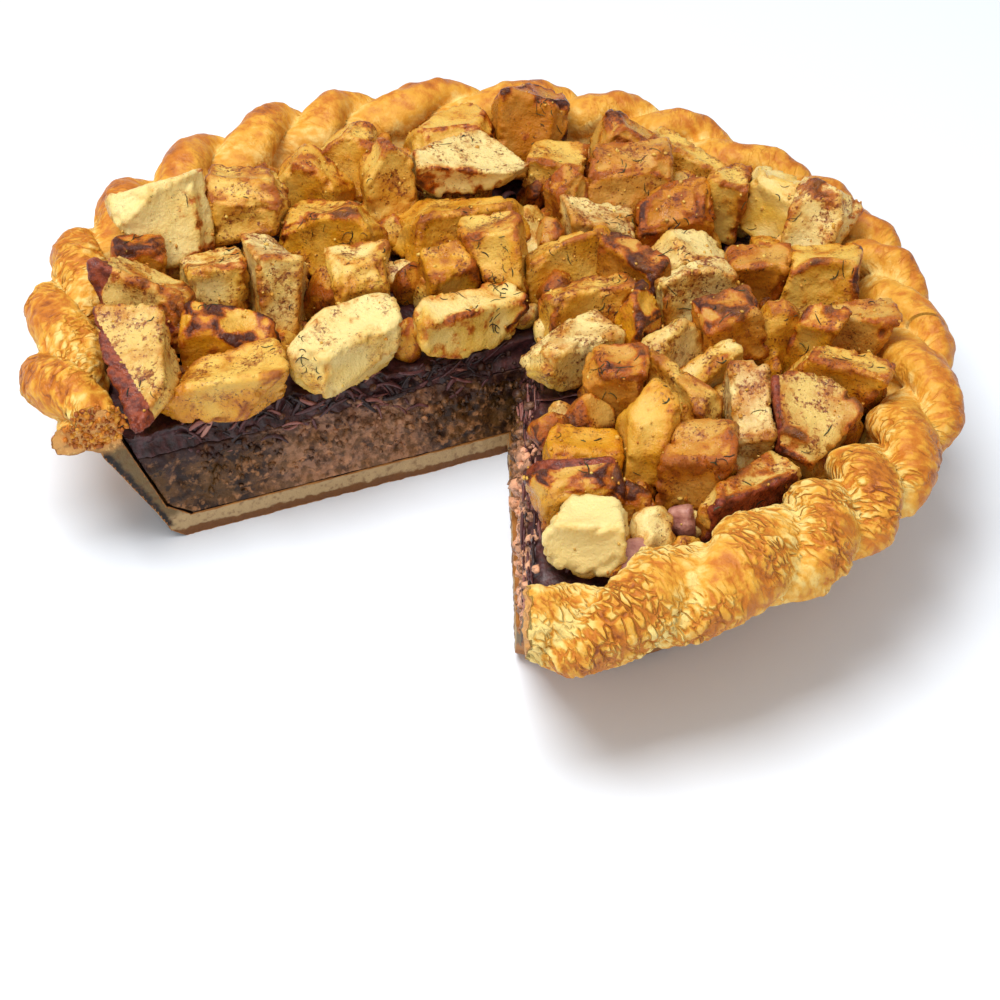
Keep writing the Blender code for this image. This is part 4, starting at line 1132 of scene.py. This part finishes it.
def dill(count, draw):
    """Bent strands that follow the heap, thrown down a little from the front."""
    heap = heap_surface()
    middle = Vector((0, 0, DILL_FROM))
    bare = Vector(BARE_PLACE) * MM
    fall = Vector(DILL_FALL).normalized()
    strands = []
    while len(strands) < count:
        if draw.random() < 0.3:
            away, bearing = HEAP_RADIUS * math.sqrt(draw.random()), draw.uniform(0, 2 * math.pi)
            middle = Vector((away * math.cos(bearing), away * math.sin(bearing), DILL_FROM))
        spot = middle + Vector((draw.gauss(0, 2), draw.gauss(0, 2), 0)) * MM - fall * 0.1
        heading, bend = draw.uniform(0, 2 * math.pi), draw.triangular(-0.6, 0.6, 0)
        step = draw.triangular(0.15, 0.9, 0.3) * MM
        path = []
        for _ in range(7):
            found, normal = heap.ray_cast(spot, fall)[:2]
            if found is None or (path and (found - path[-1]).length > 2.5 * step):
                break
            path.append(found + normal * 0.12 * MM)
            heading += bend + draw.uniform(-0.25, 0.25)
            spot = spot + Vector((math.cos(heading), math.sin(heading), 0)) * step
        if len(path) > 3 and (path[0].xy - bare).length > BARE_RADIUS:
            strands.append((path, (0, -0.4, 1), draw.uniform(0.09, 0.2) * MM, 0.08 * MM, 4,
                            draw.random()))
    return tubes("dill", strands)


dried = Finish("dill")
leaf = dried.mix(dried.attribute("tint").rise(0.2, 1), shade(30, 30, 16), shade(74, 74, 34))
coat(place("dill", dill(DILL_STRANDS, draw)),
     dried.finish_with(leaf, 0.6, dried.noise(0.6 * MM), 0.05 * MM))

# ---- the table and the light -----------------------------------------------------------
# A plain pale surface under a soft studio light from the upper left, with a wide fill from
# the front and an even, slightly cool sky.
TABLE_REACH = 3
SKY_TINT = (0.985, 1.0, 1.025, 1)
SKY_STRENGTH = 0.46

table = place("table", grid_mesh("table", np.array(
    [[(x, y, 0) for x in (-TABLE_REACH, TABLE_REACH)]
     for y in (-TABLE_REACH, TABLE_REACH)], float)))
paper = Finish("pale_table")
table.data.materials.append(paper.finish_with(shade(238, 244, 251), 0.9))


def studio_light(name, spot, size, power):
    """A square soft light that faces the pie."""
    lamp = bpy.data.lights.new(name, 'AREA')
    lamp.size = size
    lamp.energy = power
    made = bpy.data.objects.new(name, lamp)
    made.location = spot
    made.rotation_euler = Vector(spot).to_track_quat('Z', 'Y').to_euler()
    bpy.context.scene.collection.objects.link(made)


studio_light("key", (-0.35, -0.15, 1.25), 0.7, 15.6)
studio_light("fill", (-0.2, -1.4, 0.8), 1.0, 4)
sky = bpy.data.worlds.new("studio")
bpy.context.scene.world = sky
sky.use_nodes = True
sky.node_tree.nodes["Background"].inputs["Color"].default_value = SKY_TINT
sky.node_tree.nodes["Background"].inputs["Strength"].default_value = SKY_STRENGTH
bpy.context.scene.view_settings.view_transform = 'Standard'
